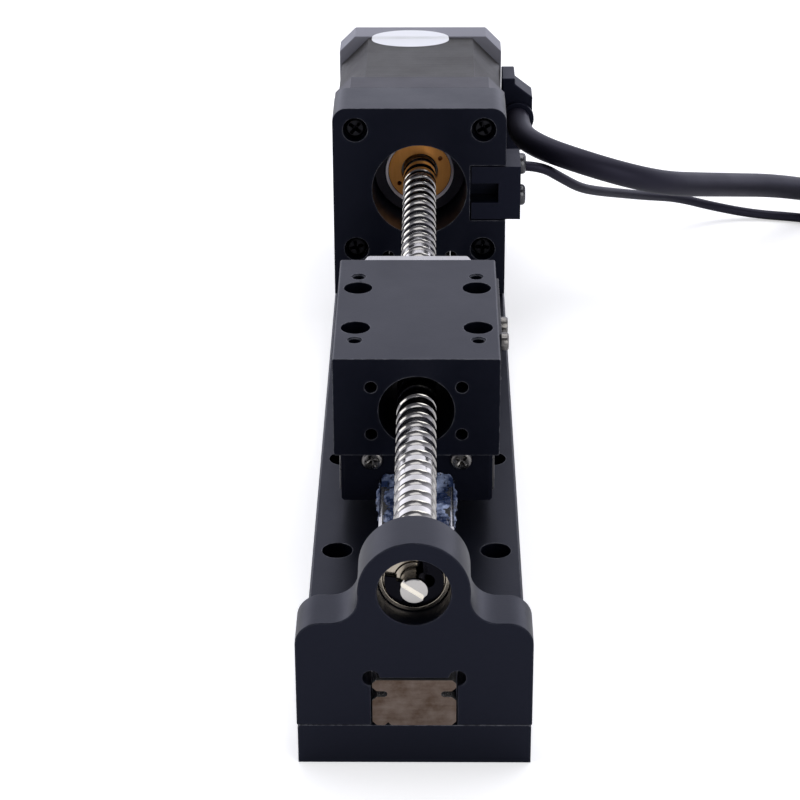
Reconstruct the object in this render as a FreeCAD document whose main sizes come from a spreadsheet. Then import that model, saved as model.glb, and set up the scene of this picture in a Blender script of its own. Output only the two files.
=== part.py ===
import FreeCAD, Part
import math
import os

import Sketcher

# Ball screw linear actuator: a carriage on a profiled rail, moved by a ball screw that the motor turns.
# Lengths are millimetres. X is across, +Y runs along the travel from the bearing block to the motor, and
# +Z is up.
# The origin is the middle of the base plate's underside.

SIZES = {
    # Base plate
    "base_length": 206,          # along the travel
    "base_width": 42,
    "base_thick": 8,
    "base_edge": 0.4,            # chamfer along the long top edges
    "mount_row_x": 16,           # centre line to each row of counterbored holes
    "hole_pitch": 40,            # pitch of the holes in the base plate and in the rail
    "clear_hole": 3.4,           # hole that an M3 screw passes through
    "head_bore": 6.2,            # counterbore for an M3 head
    "head_bore_deep": 4.5,
    "foot_bore_deep": 3.5,       # counterbore under the base plate
    # M3 screws
    "screw_thread": 3,
    "screw_fit": 0.03,           # radial gap between a thread and its filled hole
    "tap_drill": 2.5,            # open tapped hole, at its core diameter
    "cap_head": 5.5,
    "cap_head_high": 3,
    "pan_head": 5.2,
    "pan_head_high": 2.2,
    "head_edge": 0.3,
    "tip_gap": 0.5,              # room left under a screw's tip
    # Guide rail
    "rail_width": 15,
    "rail_high": 9.5,
    "rail_short": 0.5,           # what the rail's rear end stops short of the base plate
    "rail_top_edge": 0.7,
    "rail_foot_edge": 0.8,
    "groove_drop": 2.9,          # rail top to the middle of a side groove
    "groove_mouth": 2.7,         # height of the groove's mouth
    "groove_flare": 0.8,         # depth over which the mouth narrows
    "groove_slot": 1.2,          # height of the slot behind the mouth
    "groove_deep": 2.7,
    "datum_notch_x": 4.7,
    "datum_notch": 0.6,
    "rail_hole": 3.5,
    "rail_head_bore": 6,
    "rail_head_deep": 4.5,
    "rail_thread_deep": 5.5,     # thread of a rail screw in the base plate
    # Front bearing block
    "axis_high": 35.5,           # screw axis above the underside
    "block_width": 42.3,
    "block_deep": 10,
    "ear_top": 29.3,
    "ear_round": 4.5,
    "neck_round": 5,
    "arch_radius": 10,
    "slot_side_gap": 0.2,        # block to rail, each side
    "slot_top_gap": 0.4,
    "relief_hole": 3,            # round relief in the slot's corners
    "block_screw_x": 15,
    "block_thread_deep": 9,
    "seat_fit": 0.02,            # radial gap of a seated ring
    "bearing_outer": 13,
    "bearing_inner": 5,
    "bearing_wide": 4,
    "bearing_set_back": 4.6,     # block's front face to the bearing's front face
    "ring_wall": 1,              # thickness of a bearing ring
    "shoulder_hole": 10,
    "ball_size": 1.9,
    "shield_thick": 0.2,
    "shield_in": 0.2,            # shield behind the ring's face
    "shield_gap": 0.15,
    "clip_outer": 10.6,
    "clip_thick": 0.6,
    "clip_groove": 4,
    "clip_play": 0.05,
    "clip_mouth_turn": 145,      # degrees, way that the clip opens
    "clip_mouth_half": 32,       # degrees to each side of it
    "clip_relief": 2.6,
    "clip_relief_out": 2.3,      # clip's centre to the middle of a relief
    "clip_relief_turn": 95,      # degrees from the mouth to a relief
    # Ball screw
    "screw_size": 8,
    "shaft_set_back": 1.45,      # block's front face to the shaft's end
    "shaft_edge": 0.3,
    "driver_slot_wide": 0.9,
    "driver_slot_deep": 0.8,
    "screw_shoulder": 6.4,
    "shoulder_long": 1,
    "screw_run_in": 0.6,
    "nut_play": 0.05,            # radial gap between screw and nut
    "shaft_rear_short": 1.7,     # floor of the motor's rear recess to the shaft's end
    # Carriage
    "carriage_place": 96,        # base plate's front to the middle of the carriage
    "carriage_width": 33.5,
    "carriage_long": 50,
    "carriage_high": 21.5,
    "carriage_edge": 0.3,
    "guide_screw_x": 12.5,
    "guide_screw_y": 10,
    "guide_head_bore": 6,
    "guide_head_seat": 6,        # depth of the recessed heads' seat
    "guide_thread_deep": 4.5,
    "top_thread_y": 16,
    "top_thread_deep": 8,
    "thread_rim": 0.3,           # countersink at an open thread
    "nut_bore": 15.3,
    "nut_bolt_x": 9.1,
    "nut_bolt_z": 5.25,
    "nut_thread_deep": 10,
    "nut_body": 15.2,
    "nut_body_long": 22,
    "nut_flange": 30,
    "nut_flange_thick": 5,
    "nut_flat": 10.3,            # axis to the flange's flats
    "wiper_seat": 11.4,
    "wiper_thick": 1.8,
    "wiper_gap": 0.12,
    # Guide block
    "guide_width": 32,
    "guide_clear": 4,            # underside of the guide block above the base plate
    "guide_high": 13.5,
    "guide_body_long": 30,
    "guide_edge": 0.5,
    "guide_gap": 0.3,            # guide block to rail
    "ridge_high": 0.9,           # ball track that enters the rail's groove
    "ridge_reach": 0.35,
    "cap_long": 5,
    "cap_inset": 0.5,
    "cap_gap": 0.5,
    "seal_thick": 1,
    "seal_inset": 1.2,
    "seal_gap": 0.25,
    "cap_screw_x": 9.1,
    "cap_screw_drop": 3,         # below the guide block's top
    "small_thread": 2,
    "small_head": 4.3,
    "small_head_high": 1,
    "small_thread_deep": 3,
    # Sensor flag
    "flag_thick": 1,
    "flag_front": 4,             # carriage middle to the plate's front end
    "flag_low": 31.5,
    "flag_top": 39,
    "flag_screw_y": 8,
    "flag_screw_pitch": 8,
    "flag_screw_z": 35.5,
    "flag_thread": 2,
    "flag_thread_deep": 1.8,
    "flag_head": 3.8,
    "flag_head_high": 1.6,
    "tab_inner_x": 13.2,
    "tab_behind_nut": 1.4,       # nut flange to the tab's near edge
    "tab_long": 12,
    "tab_z": 34.6,
    "tab_round": 2,
    # Motor bracket
    "bracket_deep": 15,
    "bracket_top": 56.5,
    "bracket_round": 3.5,
    "bracket_bore": 23,
    "motor_bolt": 15.5,
    "motor_head_bore": 6,
    "motor_head_sunk": 1.4,
    "motor_thread_deep": 3.8,
    "bracket_screw_x": 14.5,
    "bracket_thread_deep": 6,
    # Motor
    "motor_face": 42,
    "motor_cap_long": 8,
    "motor_cap_corner": 4,
    "stack_face": 41,
    "stack_long": 32,
    "stack_corner": 7,
    "pilot": 22,
    "pilot_long": 2,
    "ring_nut": 15.4,
    "ring_nut_hole": 9,
    "ring_nut_thick": 2.5,
    "pin_hole": 1.1,
    "pin_circle": 6,
    "pin_turn": 33,              # degrees above the level
    "motor_bearing_outer": 15,
    "motor_bearing_inner": 10,
    "motor_bearing_wide": 4,
    "sleeve_fit": 0.02,
    "coil_room": 38,             # diameter of the caps' inner rooms
    "coil_room_deep": 3,
    "stator_bore": 27,
    "slot_deep": 5,
    "slot_half_angle": 13,       # degrees
    "coil_gap": 0.3,
    "coil_out": 2.2,             # what the coils stand out of the stack
    "air_gap": 0.3,
    "core_long": 11,
    "magnet_long": 2.4,
    "magnet_drop": 0.8,
    "core_start": 3.3,           # front of the stack to the front rotor core
    "core_gap": 0.05,
    "body_screw_sunk": 2.6,
    "boss_size": 17,
    "boss_deep": 0.5,
    # Cable outlet on the motor
    "outlet_y": 27,              # bracket's rear face to the outlet's front face
    "outlet_long": 10,
    "outlet_plate": 3.3,
    "outlet_plate_top": 49.5,
    "outlet_plate_low": 27,
    "outlet_cover": 4.5,
    "outlet_cover_long": 7.5,
    "outlet_cover_low": 30,
    "outlet_shoulder": 48,
    "outlet_slope": 3.5,
    "gland_x": 25,
    "gland_z": 39.1,
    "gland_size": 8.4,
    "gland_long": 1.5,
    "motor_cable": 6.2,
    # End-of-travel sensor
    "sensor_deep": 5.5,
    "sensor_high": 13.7,
    "sensor_centre_z": 34.7,
    "sensor_slot": 5,
    "sensor_slot_end": 6.6,      # depth of the slot from the arms' tips
    "sensor_tip_x": 12.6,
    "sensor_flange": 3.6,
    "sensor_flange_deep": 12.5,
    "sensor_gap": 0.3,
    "sensor_screw_y": 9.5,
    "sensor_screw_z": 4.1,
    "sensor_head": 5.2,
    "sensor_head_high": 1.5,
    "sensor_thread_deep": 3,
    "sensor_cable": 2.5,
    "sensor_cable_z": 36.3,
    "sensor_cable_y": 14.3,
    "sensor_outlet": 3.5,        # how far the cable's outlet stands behind the flange
    "sensor_outlet_high": 5,
    "sensor_boot": 3.6,
    "sensor_boot_long": 1.2,
    # Coils and ends of the two cables
    "motor_coil_radius": 34,
    "plug_boot_long": 3,
    "plug_long": 16,
    "plug_wide": 13,
    "plug_high": 6.2,
    "sensor_coil_radius": 19,
    "sensor_tail": 12,
    "lead_size": 0.9,
    "lead_place": 0.5,
    "lead_long": 12,
}

MOUNT_ROWS = 5
RING_BALLS = 7
MOTOR_POLES = 8


class Size:
    """A length held twice: as its value, and as the expression on the sheet that gives it."""

    def __init__(self, value, text):
        self.value = value
        self.text = text

    def __add__(self, other):
        return combine(self, "+", other)

    def __radd__(self, other):
        return combine(other, "+", self)

    def __sub__(self, other):
        return combine(self, "-", other)

    def __rsub__(self, other):
        return combine(other, "-", self)

    def __mul__(self, other):
        return combine(self, "*", other)

    def __rmul__(self, other):
        return combine(other, "*", self)

    def __truediv__(self, other):
        return combine(self, "/", other)

    def __neg__(self):
        return combine(0, "-", self)


def to_size(thing):
    return thing if isinstance(thing, Size) else Size(float(thing), repr(float(thing)))


def combine(left, sign, right):
    left = to_size(left)
    right = to_size(right)
    results = {
        "+": left.value + right.value,
        "-": left.value - right.value,
        "*": left.value * right.value,
        "/": left.value / (right.value or 1),
    }
    return Size(results[sign], f"({left.text} {sign} {right.text})")


def root(size):
    return Size(math.sqrt(size.value), f"sqrt({size.text})")


def bind(thing, name, size):
    thing.setExpression(name, to_size(size).text)


doc = FreeCAD.newDocument("BallScrewActuator")
sheet = doc.addObject("Spreadsheet::Sheet", "Sizes")


class Named:
    """The sizes by name, so that s.base_length is the cell of that alias."""


s = Named()
for row, (name, value) in enumerate(SIZES.items(), start=1):
    sheet.set(f"A{row}", name)
    sheet.set(f"B{row}", str(value))
    sheet.setAlias(f"B{row}", name)
    setattr(s, name, Size(float(value), f"Sizes.{name}"))
doc.recompute()

NODES = []


def cell(name):
    """The value in the sheet's cell of that name."""
    return float(sheet.get(name))


def node(made):
    """Puts a finished object on the list of sub-parts."""
    NODES.append(made)
    return made


def place(thing, x=0, y=0, z=0):
    for axis, size in (("x", x), ("y", y), ("z", z)):
        bind(thing, f"Placement.Base.{axis}", size)


def new_body(label):
    body = doc.addObject("PartDesign::Body", label)
    body.Label = label
    return node(body)


def origin_plane(body, role):
    return next(feature for feature in body.Origin.OriginFeatures if feature.Role == role)


def new_sketch(body, name, plane, offset=0):
    """A sketch on one of the body's planes, moved along the plane's own axis by offset."""
    sketch = body.newObject("Sketcher::SketchObject", name)
    sketch.AttachmentSupport = (origin_plane(body, plane), [""])
    sketch.MapMode = "FlatFace"
    bind(sketch, "AttachmentOffset.Base.z", -offset if plane == "XZ_Plane" else offset)
    return sketch


def arc_between(start, end, radius):
    """The short arc from start to end; it turns left where the radius is positive."""
    half = (end - start) * 0.5
    side = 1 if radius > 0 else -1
    rise = math.sqrt(max(radius * radius - half.Length * half.Length, 0))
    normal = FreeCAD.Vector(-half.y, half.x, 0).normalize()
    centre = start + half + normal * (rise * side)
    angles = [math.atan2(point.y - centre.y, point.x - centre.x) for point in (start, end)]
    first, last = angles if side > 0 else angles[::-1]
    circle = Part.Circle(centre, FreeCAD.Vector(0, 0, 1), abs(radius))
    return Part.ArcOfCircle(circle, first, last)


def draw_loop(sketch, steps):
    """Draws a closed loop. A step (x, y) ends a straight edge; (x, y, radius) ends an arc."""
    edges = []
    ends = []
    for index, step in enumerate(steps):
        before = steps[index - 1]
        start = FreeCAD.Vector(to_size(before[0]).value, to_size(before[1]).value, 0)
        end = FreeCAD.Vector(to_size(step[0]).value, to_size(step[1]).value, 0)
        if len(step) == 2:
            edges.append(Part.LineSegment(start, end))
            ends.append((1, 2))
        else:
            radius = to_size(step[2]).value
            edges.append(arc_between(start, end, radius))
            ends.append((1, 2) if radius > 0 else (2, 1))
    made = sketch.addGeometry(edges, False)
    rules = []
    bound = []
    first = sketch.ConstraintCount
    for index, step in enumerate(steps):
        after = (index + 1) % len(steps)
        tail = ends[index][1]
        rules.append(Sketcher.Constraint("Coincident", made[index], tail, made[after], ends[after][0]))
        for kind, size in (("DistanceX", step[0]), ("DistanceY", step[1])):
            bound.append((first + len(rules), to_size(size).text))
            rules.append(Sketcher.Constraint(kind, -1, 1, made[index], tail, to_size(size).value))
        if len(step) == 3:
            size = to_size(step[2])
            bound.append((first + len(rules), size.text if size.value > 0 else (-size).text))
            rules.append(Sketcher.Constraint("Radius", made[index], abs(size.value)))
    sketch.addConstraint(rules)
    for index, text in bound:
        sketch.setExpression(f"Constraints[{index}]", text)


def draw_circle(sketch, x, y, diameter):
    x, y, diameter = to_size(x), to_size(y), to_size(diameter)
    centre = FreeCAD.Vector(x.value, y.value, 0)
    made = sketch.addGeometry(Part.Circle(centre, FreeCAD.Vector(0, 0, 1), diameter.value / 2), False)
    first = sketch.ConstraintCount
    sketch.addConstraint([
        Sketcher.Constraint("DistanceX", -1, 1, made, 3, x.value),
        Sketcher.Constraint("DistanceY", -1, 1, made, 3, y.value),
        Sketcher.Constraint("Diameter", made, diameter.value),
    ])
    for index, size in enumerate((x, y, diameter)):
        sketch.setExpression(f"Constraints[{first + index}]", size.text)


def pad(body, name, plane, offset, length, loops=(), circles=()):
    """Pads loops towards +X, +Y or +Z from a plane at offset."""
    sketch = new_sketch(body, name + "_sketch", plane, offset)
    for loop in loops:
        draw_loop(sketch, loop)
    for circle in circles:
        draw_circle(sketch, *circle)
    made = body.newObject("PartDesign::Pad", name)
    made.Profile = sketch
    made.Reversed = plane == "XZ_Plane"
    bind(made, "Length", length)
    return made


def cut(body, name, plane, offset, depth, towards, loops=(), circles=()):
    """Pockets loops and circles from a plane at offset, towards the positive or negative axis."""
    sketch = new_sketch(body, name + "_sketch", plane, offset)
    for loop in loops:
        draw_loop(sketch, loop)
    for circle in circles:
        draw_circle(sketch, *circle)
    made = body.newObject("PartDesign::Pocket", name)
    made.Profile = sketch
    made.Reversed = (towards > 0) != (plane == "XZ_Plane")
    bind(made, "Length", depth)
    return made


def both_sides(half):
    """A closed loop from its right half, which starts and ends on the centre line."""
    left = []
    for index in range(len(half) - 2, 0, -1):
        radius = half[index + 1][2:]
        left.append((-to_size(half[index][0]), half[index][1]) + tuple(radius))
    first = half[0][:2] + tuple(half[1][2:])
    return [first] + list(half[1:]) + left


def turned(label, profile, y):
    """A piece turned about the screw axis, from a profile of (place along the axis, radius)."""
    body = new_body(label)
    sketch = new_sketch(body, label + "_profile", "YZ_Plane")
    draw_loop(sketch, profile)
    made = body.newObject("PartDesign::Revolution", label + "_turn")
    made.Profile = sketch
    made.ReferenceAxis = (sketch, ["H_Axis"])
    place(body, y=y, z=s.axis_high)
    return body


def ring(start, end, inner, outer):
    """The profile of a plain ring between two places and two diameters."""
    return [(start, inner / 2), (end, inner / 2), (end, outer / 2), (start, outer / 2)]


def corners(x, y):
    return [(-x, -y), (x, -y), (x, y), (-x, y)]


def box_loop(left, low, right, high):
    return [(left, low), (right, low), (right, high), (left, high)]


def chamfered_box(half_x, low, high, corner):
    """A loop, even about the centre line, with all four corners cut."""
    return [
        (-half_x + corner, low),
        (half_x - corner, low),
        (half_x, low + corner),
        (half_x, high - corner),
        (half_x - corner, high),
        (-half_x + corner, high),
        (-half_x, high - corner),
        (-half_x, low + corner),
    ]


FACING = {
    "up": FreeCAD.Rotation(),
    "down": FreeCAD.Rotation(FreeCAD.Vector(1, 0, 0), 180),
    "front": FreeCAD.Rotation(FreeCAD.Vector(1, 0, 0), 90),
    "rear": FreeCAD.Rotation(FreeCAD.Vector(1, 0, 0), -90),
    "right": FreeCAD.Rotation(FreeCAD.Vector(0, 1, 0), 90),
}


def loose_sketch(name):
    """A sketch in the XZ plane for pieces that are turned about Z and then placed."""
    sketch = doc.addObject("Sketcher::SketchObject", name)
    sketch.Placement = FreeCAD.Placement(FreeCAD.Vector(), FreeCAD.Rotation(FreeCAD.Vector(1, 0, 0), 90))
    return sketch


def group(label, pieces):
    made = doc.addObject("Part::Compound", label)
    made.Label = label
    made.Links = pieces
    return node(made)


def screws(label, head, head_high, thread, length, facing, seats):
    """One node of like screws: each head sits on its seat and faces one way, with the thread behind it."""
    sketch = loose_sketch(label + "_profile")
    draw_loop(sketch, [
        (0, -length),
        (thread / 2 - s.head_edge, -length),
        (thread / 2, s.head_edge - length),
        (thread / 2, 0),
        (head / 2, 0),
        (head / 2, head_high - s.head_edge),
        (head / 2 - s.head_edge, head_high),
        (0, head_high),
    ])
    pieces = []
    for index, (x, y, z) in enumerate(seats, start=1):
        made = doc.addObject("Part::Revolution", f"{label}_{index}")
        made.Source = sketch
        made.Axis = FreeCAD.Vector(0, 0, 1)
        made.Solid = True
        made.Placement = FreeCAD.Placement(FreeCAD.Vector(), FACING[facing])
        place(made, x, y, z)
        pieces.append(made)
    return group(label, pieces)


# Places that several pieces share.
front_y = -s.base_length / 2
rear_y = s.base_length / 2
bracket_y = rear_y - s.bracket_deep
rail_top = s.base_thick + s.rail_high
carriage_y = front_y + s.carriage_place
guide_low = s.base_thick + s.guide_clear
guide_top = guide_low + s.guide_high
cap_screw_z = guide_top - s.cap_screw_drop
filled_hole = s.screw_thread + 2 * s.screw_fit
row_places = [s.hole_pitch * (index - (MOUNT_ROWS - 1) / 2) for index in range(MOUNT_ROWS)]
block_mid_y = front_y + s.block_deep / 2
bracket_mid_y = rear_y - s.bracket_deep / 2


def base_plate():
    body = new_body("base_plate")
    half = s.base_width / 2
    pad(body, "Plate", "XZ_Plane", front_y, s.base_length, [[
        (-half, 0),
        (half, 0),
        (half, s.base_thick - s.base_edge),
        (half - s.base_edge, s.base_thick),
        (s.base_edge - half, s.base_thick),
        (-half, s.base_thick - s.base_edge),
    ]])
    holes = [(side * s.mount_row_x, y) for y in row_places for side in (-1, 1)]
    top = s.base_thick
    cut(body, "MountHoles", "XY_Plane", top, top, -1, circles=[(x, y, s.clear_hole) for x, y in holes])
    cut(body, "MountHeads", "XY_Plane", top, s.head_bore_deep, -1,
        circles=[(x, y, s.head_bore) for x, y in holes])
    cut(body, "RailThreads", "XY_Plane", top, s.rail_thread_deep + s.tip_gap, -1,
        circles=[(0, y, filled_hole) for y in row_places])
    feet = [(side * x, y) for x, y in ((s.block_screw_x, block_mid_y), (s.bracket_screw_x, bracket_mid_y))
            for side in (-1, 1)]
    cut(body, "FootHoles", "XY_Plane", 0, top, 1, circles=[(x, y, s.clear_hole) for x, y in feet])
    cut(body, "FootHeads", "XY_Plane", 0, s.foot_bore_deep, 1, circles=[(x, y, s.head_bore) for x, y in feet])


def rail_side(half):
    """The rail's right side from foot to top: chamfer, flared groove with a round end, chamfer."""
    middle = rail_top - s.groove_drop
    mouth = s.groove_mouth / 2
    slot = s.groove_slot / 2
    neck = half - s.groove_flare
    end = half - s.groove_deep + slot
    return [
        (half - s.rail_foot_edge, s.base_thick),
        (half, s.base_thick + s.rail_foot_edge),
        (half, middle - mouth),
        (neck, middle - slot),
        (end, middle - slot),
        (end - slot, middle, -slot),
        (end, middle + slot, -slot),
        (neck, middle + slot),
        (half, middle + mouth),
        (half, rail_top - s.rail_top_edge),
        (half - s.rail_top_edge, rail_top),
    ]


def guide_rail():
    body = new_body("guide_rail")
    loop = both_sides([(0, s.base_thick)] + rail_side(s.rail_width / 2) + [(0, rail_top)])
    notch = [
        (-s.datum_notch_x - s.datum_notch, s.base_thick),
        (-s.datum_notch_x, s.base_thick + s.datum_notch),
        (-s.datum_notch_x + s.datum_notch, s.base_thick),
    ]
    pad(body, "Profile", "XZ_Plane", front_y, s.base_length - s.rail_short, [loop[1:] + notch])
    cut(body, "Holes", "XY_Plane", rail_top, s.rail_high, -1,
        circles=[(0, y, s.rail_hole) for y in row_places])
    cut(body, "Heads", "XY_Plane", rail_top, s.rail_head_deep, -1,
        circles=[(0, y, s.rail_head_bore) for y in row_places])


def rail_screws():
    seat = rail_top - s.rail_head_deep
    length = seat - s.base_thick + s.rail_thread_deep
    screws("rail_screws", s.cap_head, s.cap_head_high, s.screw_thread, length, "up",
           [(0, y, seat) for y in row_places])


def rail_slot():
    """The slot that a block on the base plate has for the rail: its half width and its top."""
    return s.rail_width / 2 + s.slot_side_gap, rail_top + s.slot_top_gap


def front_block():
    body = new_body("front_block")
    half = s.block_width / 2
    slot, slot_top = rail_slot()
    # The neck's round touches the arch where the line between their centres crosses it.
    neck_drop = s.axis_high - s.ear_top - s.neck_round
    reach = s.arch_radius + s.neck_round
    neck_x = root(reach * reach - neck_drop * neck_drop)
    share = s.arch_radius / reach
    half_loop = [
        (0, slot_top),
        (slot, slot_top),
        (slot, s.base_thick),
        (half, s.base_thick),
        (half, s.ear_top - s.ear_round),
        (half - s.ear_round, s.ear_top, s.ear_round),
        (neck_x, s.ear_top),
        (neck_x * share, s.axis_high - neck_drop * share, -s.neck_round),
        (0, s.axis_high + s.arch_radius, s.arch_radius),
    ]
    pad(body, "Omega", "XZ_Plane", front_y, s.block_deep, [both_sides(half_loop)])
    cut(body, "SlotReliefs", "XZ_Plane", front_y, s.block_deep, 1,
        circles=[(side * slot, slot_top, s.relief_hole) for side in (-1, 1)])
    cut(body, "Shoulder", "XZ_Plane", front_y, s.block_deep, 1, circles=[(0, s.axis_high, s.shoulder_hole)])
    cut(body, "BearingSeat", "XZ_Plane", front_y, s.bearing_set_back + s.bearing_wide, 1,
        circles=[(0, s.axis_high, s.bearing_outer)])
    cut(body, "Threads", "XY_Plane", s.base_thick, s.block_thread_deep + s.tip_gap, 1,
        circles=[(side * s.block_screw_x, block_mid_y, filled_hole) for side in (-1, 1)])


def foot_screws(label, x, y, thread_deep):
    length = s.base_thick - s.foot_bore_deep + thread_deep
    screws(label, s.cap_head, s.cap_head_high, s.screw_thread, length, "down",
           [(side * x, y, s.foot_bore_deep) for side in (-1, 1)])


def bearing_rings(outer_label, inner_label, outer, inner, wide, y):
    """The two rings of a ball bearing; the room between them is the same on both sides of the balls."""
    turned(outer_label,
           ring(to_size(0), wide, outer - 2 * (s.ring_wall + s.seat_fit), outer - 2 * s.seat_fit), y)
    turned(inner_label, ring(to_size(0), wide, inner + 2 * s.seat_fit, inner + 2 * s.ring_wall), y)


def front_bearing():
    y = front_y + s.bearing_set_back
    bearing_rings("front_bearing_outer_ring", "front_bearing_inner_ring",
                  s.bearing_outer, s.bearing_inner, s.bearing_wide, y)
    pitch = (s.bearing_outer + s.bearing_inner) / 4
    balls = []
    for index in range(RING_BALLS):
        angle = 2 * math.pi * index / RING_BALLS
        ball = doc.addObject("Part::Sphere", f"front_bearing_ball_{index + 1}")
        bind(ball, "Radius", s.ball_size / 2)
        place(ball, pitch * math.cos(angle), y + s.bearing_wide / 2, s.axis_high + pitch * math.sin(angle))
        balls.append(ball)
    group("front_bearing_balls", balls)
    inner = s.bearing_inner + 2 * (s.ring_wall + s.shield_gap)
    outer = s.bearing_outer - 2 * (s.ring_wall + s.seat_fit)
    far_end = s.bearing_wide - s.shield_in
    turned("front_bearing_front_shield", ring(s.shield_in, s.shield_in + s.shield_thick, inner, outer), y)
    turned("front_bearing_rear_shield", ring(far_end - s.shield_thick, far_end, inner, outer), y)


def front_e_ring():
    """A spring clip in the journal's groove: a disc with a bore, two reliefs beside its tongue and a mouth."""
    body = new_body("front_e_ring")
    pad(body, "Disc", "XZ_Plane", 0, s.clip_thick, circles=[(0, 0, s.clip_outer)])
    cut(body, "Bore", "XZ_Plane", 0, s.clip_thick, 1, circles=[(0, 0, s.clip_groove + 2 * s.clip_play)])
    middle = math.radians(cell("clip_mouth_turn"))
    half = math.radians(cell("clip_mouth_half"))
    far = s.clip_outer
    mouth = [(0, 0)] + [(far * math.cos(way), far * math.sin(way)) for way in (middle - half, middle + half)]
    cut(body, "Mouth", "XZ_Plane", 0, s.clip_thick, 1, loops=[mouth])
    reliefs = []
    for side in (-1, 1):
        angle = middle + side * math.radians(cell("clip_relief_turn"))
        reliefs.append((s.clip_relief_out * math.cos(angle), s.clip_relief_out * math.sin(angle), s.clip_relief))
    cut(body, "Reliefs", "XZ_Plane", 0, s.clip_thick, 1, circles=reliefs)
    place(body, y=front_y + s.bearing_set_back - s.clip_thick - s.clip_play, z=s.axis_high)


def ball_screw():
    journal = s.bearing_inner / 2
    clip_end = s.bearing_set_back
    clip_start = clip_end - s.clip_thick - 2 * s.clip_play
    seat_end = s.bearing_set_back + s.bearing_wide
    shoulder_end = seat_end + s.shoulder_long
    rear_end = s.base_length + 2 * s.motor_cap_long + s.stack_long - s.boss_deep - s.shaft_rear_short
    body = turned("ball_screw", [
        (s.shaft_set_back, 0),
        (rear_end, 0),
        (rear_end, s.screw_size / 2 - s.shaft_edge),
        (rear_end - s.shaft_edge, s.screw_size / 2),
        (shoulder_end + s.screw_run_in, s.screw_size / 2),
        (shoulder_end, s.screw_shoulder / 2),
        (seat_end, s.screw_shoulder / 2),
        (seat_end, journal),
        (clip_end, journal),
        (clip_end, s.clip_groove / 2),
        (clip_start, s.clip_groove / 2),
        (clip_start, journal),
        (s.shaft_set_back + s.shaft_edge, journal),
        (s.shaft_set_back, journal - s.shaft_edge),
    ], front_y)
    # The driver slot runs from upper left to lower right.
    along = s.bearing_inner * math.sqrt(0.5)
    across = s.driver_slot_wide / 2 * math.sqrt(0.5)
    cut(body, "DriverSlot", "XZ_Plane", s.shaft_set_back, s.driver_slot_deep, 1, loops=[[
        (-along - across, along - across),
        (along - across, -along - across),
        (along + across, -along + across),
        (-along + across, along + across),
    ]])


def carriage_housing():
    body = new_body("carriage_housing")
    low = guide_top
    top = guide_top + s.carriage_high
    front = -s.carriage_long / 2
    pad(body, "Block", "XZ_Plane", front, s.carriage_long,
        [chamfered_box(s.carriage_width / 2, low, top, s.carriage_edge)])
    cut(body, "NutBore", "XZ_Plane", front, s.carriage_long, 1, circles=[(0, s.axis_high, s.nut_bore)])
    bolts = [(x, s.axis_high + z) for x, z in corners(s.nut_bolt_x, s.nut_bolt_z)]
    cut(body, "FrontThreads", "XZ_Plane", front, s.nut_thread_deep, 1,
        circles=[(x, z, s.tap_drill) for x, z in bolts])
    cut(body, "RearThreads", "XZ_Plane", -front, s.nut_thread_deep, -1,
        circles=[(x, z, filled_hole) for x, z in bolts])
    guide = corners(s.guide_screw_x, s.guide_screw_y)
    cut(body, "GuideHoles", "XY_Plane", top, s.carriage_high, -1,
        circles=[(x, y, s.clear_hole) for x, y in guide])
    cut(body, "GuideHeads", "XY_Plane", top, s.guide_head_seat, -1,
        circles=[(x, y, s.guide_head_bore) for x, y in guide])
    open_threads = corners(s.guide_screw_x, s.top_thread_y)
    cut(body, "TopThreads", "XY_Plane", top, s.top_thread_deep, -1,
        circles=[(x, y, s.tap_drill) for x, y in open_threads])
    cut(body, "TopRims", "XY_Plane", top, s.thread_rim, -1,
        circles=[(x, y, s.tap_drill + 2 * s.thread_rim) for x, y in open_threads])
    side = s.carriage_width / 2
    cut(body, "FlagThreads", "YZ_Plane", side, s.flag_thread_deep + s.screw_fit, -1,
        circles=[(s.flag_screw_y + index * s.flag_screw_pitch, s.flag_screw_z, s.flag_thread + 2 * s.screw_fit)
                 for index in (0, 1)])
    place(body, y=carriage_y)


def carriage_screws():
    seat = guide_top + s.carriage_high - s.guide_head_seat
    length = s.carriage_high - s.guide_head_seat + s.guide_thread_deep
    screws("carriage_screws", s.cap_head, s.cap_head_high, s.screw_thread, length, "up",
           [(x, carriage_y + y, seat) for x, y in corners(s.guide_screw_x, s.guide_screw_y)])


def guide_loop(half, low, top, gap, edge, ridge=None):
    """The section of a piece that straddles the rail, with the room that it keeps from the rail."""
    inner = s.rail_width / 2 + gap
    ceiling = rail_top + gap
    steps = [(0, ceiling), (inner, ceiling)]
    if ridge is not None:
        middle = rail_top - s.groove_drop
        steps += [
            (inner, middle + ridge / 2 + s.ridge_reach),
            (inner - s.ridge_reach, middle + ridge / 2),
            (inner - s.ridge_reach, middle - ridge / 2),
            (inner, middle - ridge / 2 - s.ridge_reach),
        ]
    steps += [
        (inner, low),
        (half - edge, low),
        (half, low + edge),
        (half, top - edge),
        (half - edge, top),
        (0, top),
    ]
    return both_sides(steps)


def guide_block():
    body = new_body("guide_block")
    start = -s.guide_body_long / 2
    pad(body, "Block", "XZ_Plane", start, s.guide_body_long,
        [guide_loop(s.guide_width / 2, guide_low, guide_top, s.guide_gap, s.guide_edge, s.ridge_high)])
    cut(body, "TopThreads", "XY_Plane", guide_top, s.guide_thread_deep + s.tip_gap, -1,
        circles=[(x, y, filled_hole) for x, y in corners(s.guide_screw_x, s.guide_screw_y)])
    small = s.small_thread + 2 * s.screw_fit
    holes = [(side * s.cap_screw_x, cap_screw_z, small) for side in (-1, 1)]
    for name, face, towards in (("FrontThreads", start, 1), ("RearThreads", -start, -1)):
        cut(body, name, "XZ_Plane", face, s.small_thread_deep + s.tip_gap, towards, circles=holes)
    place(body, y=carriage_y)


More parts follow.
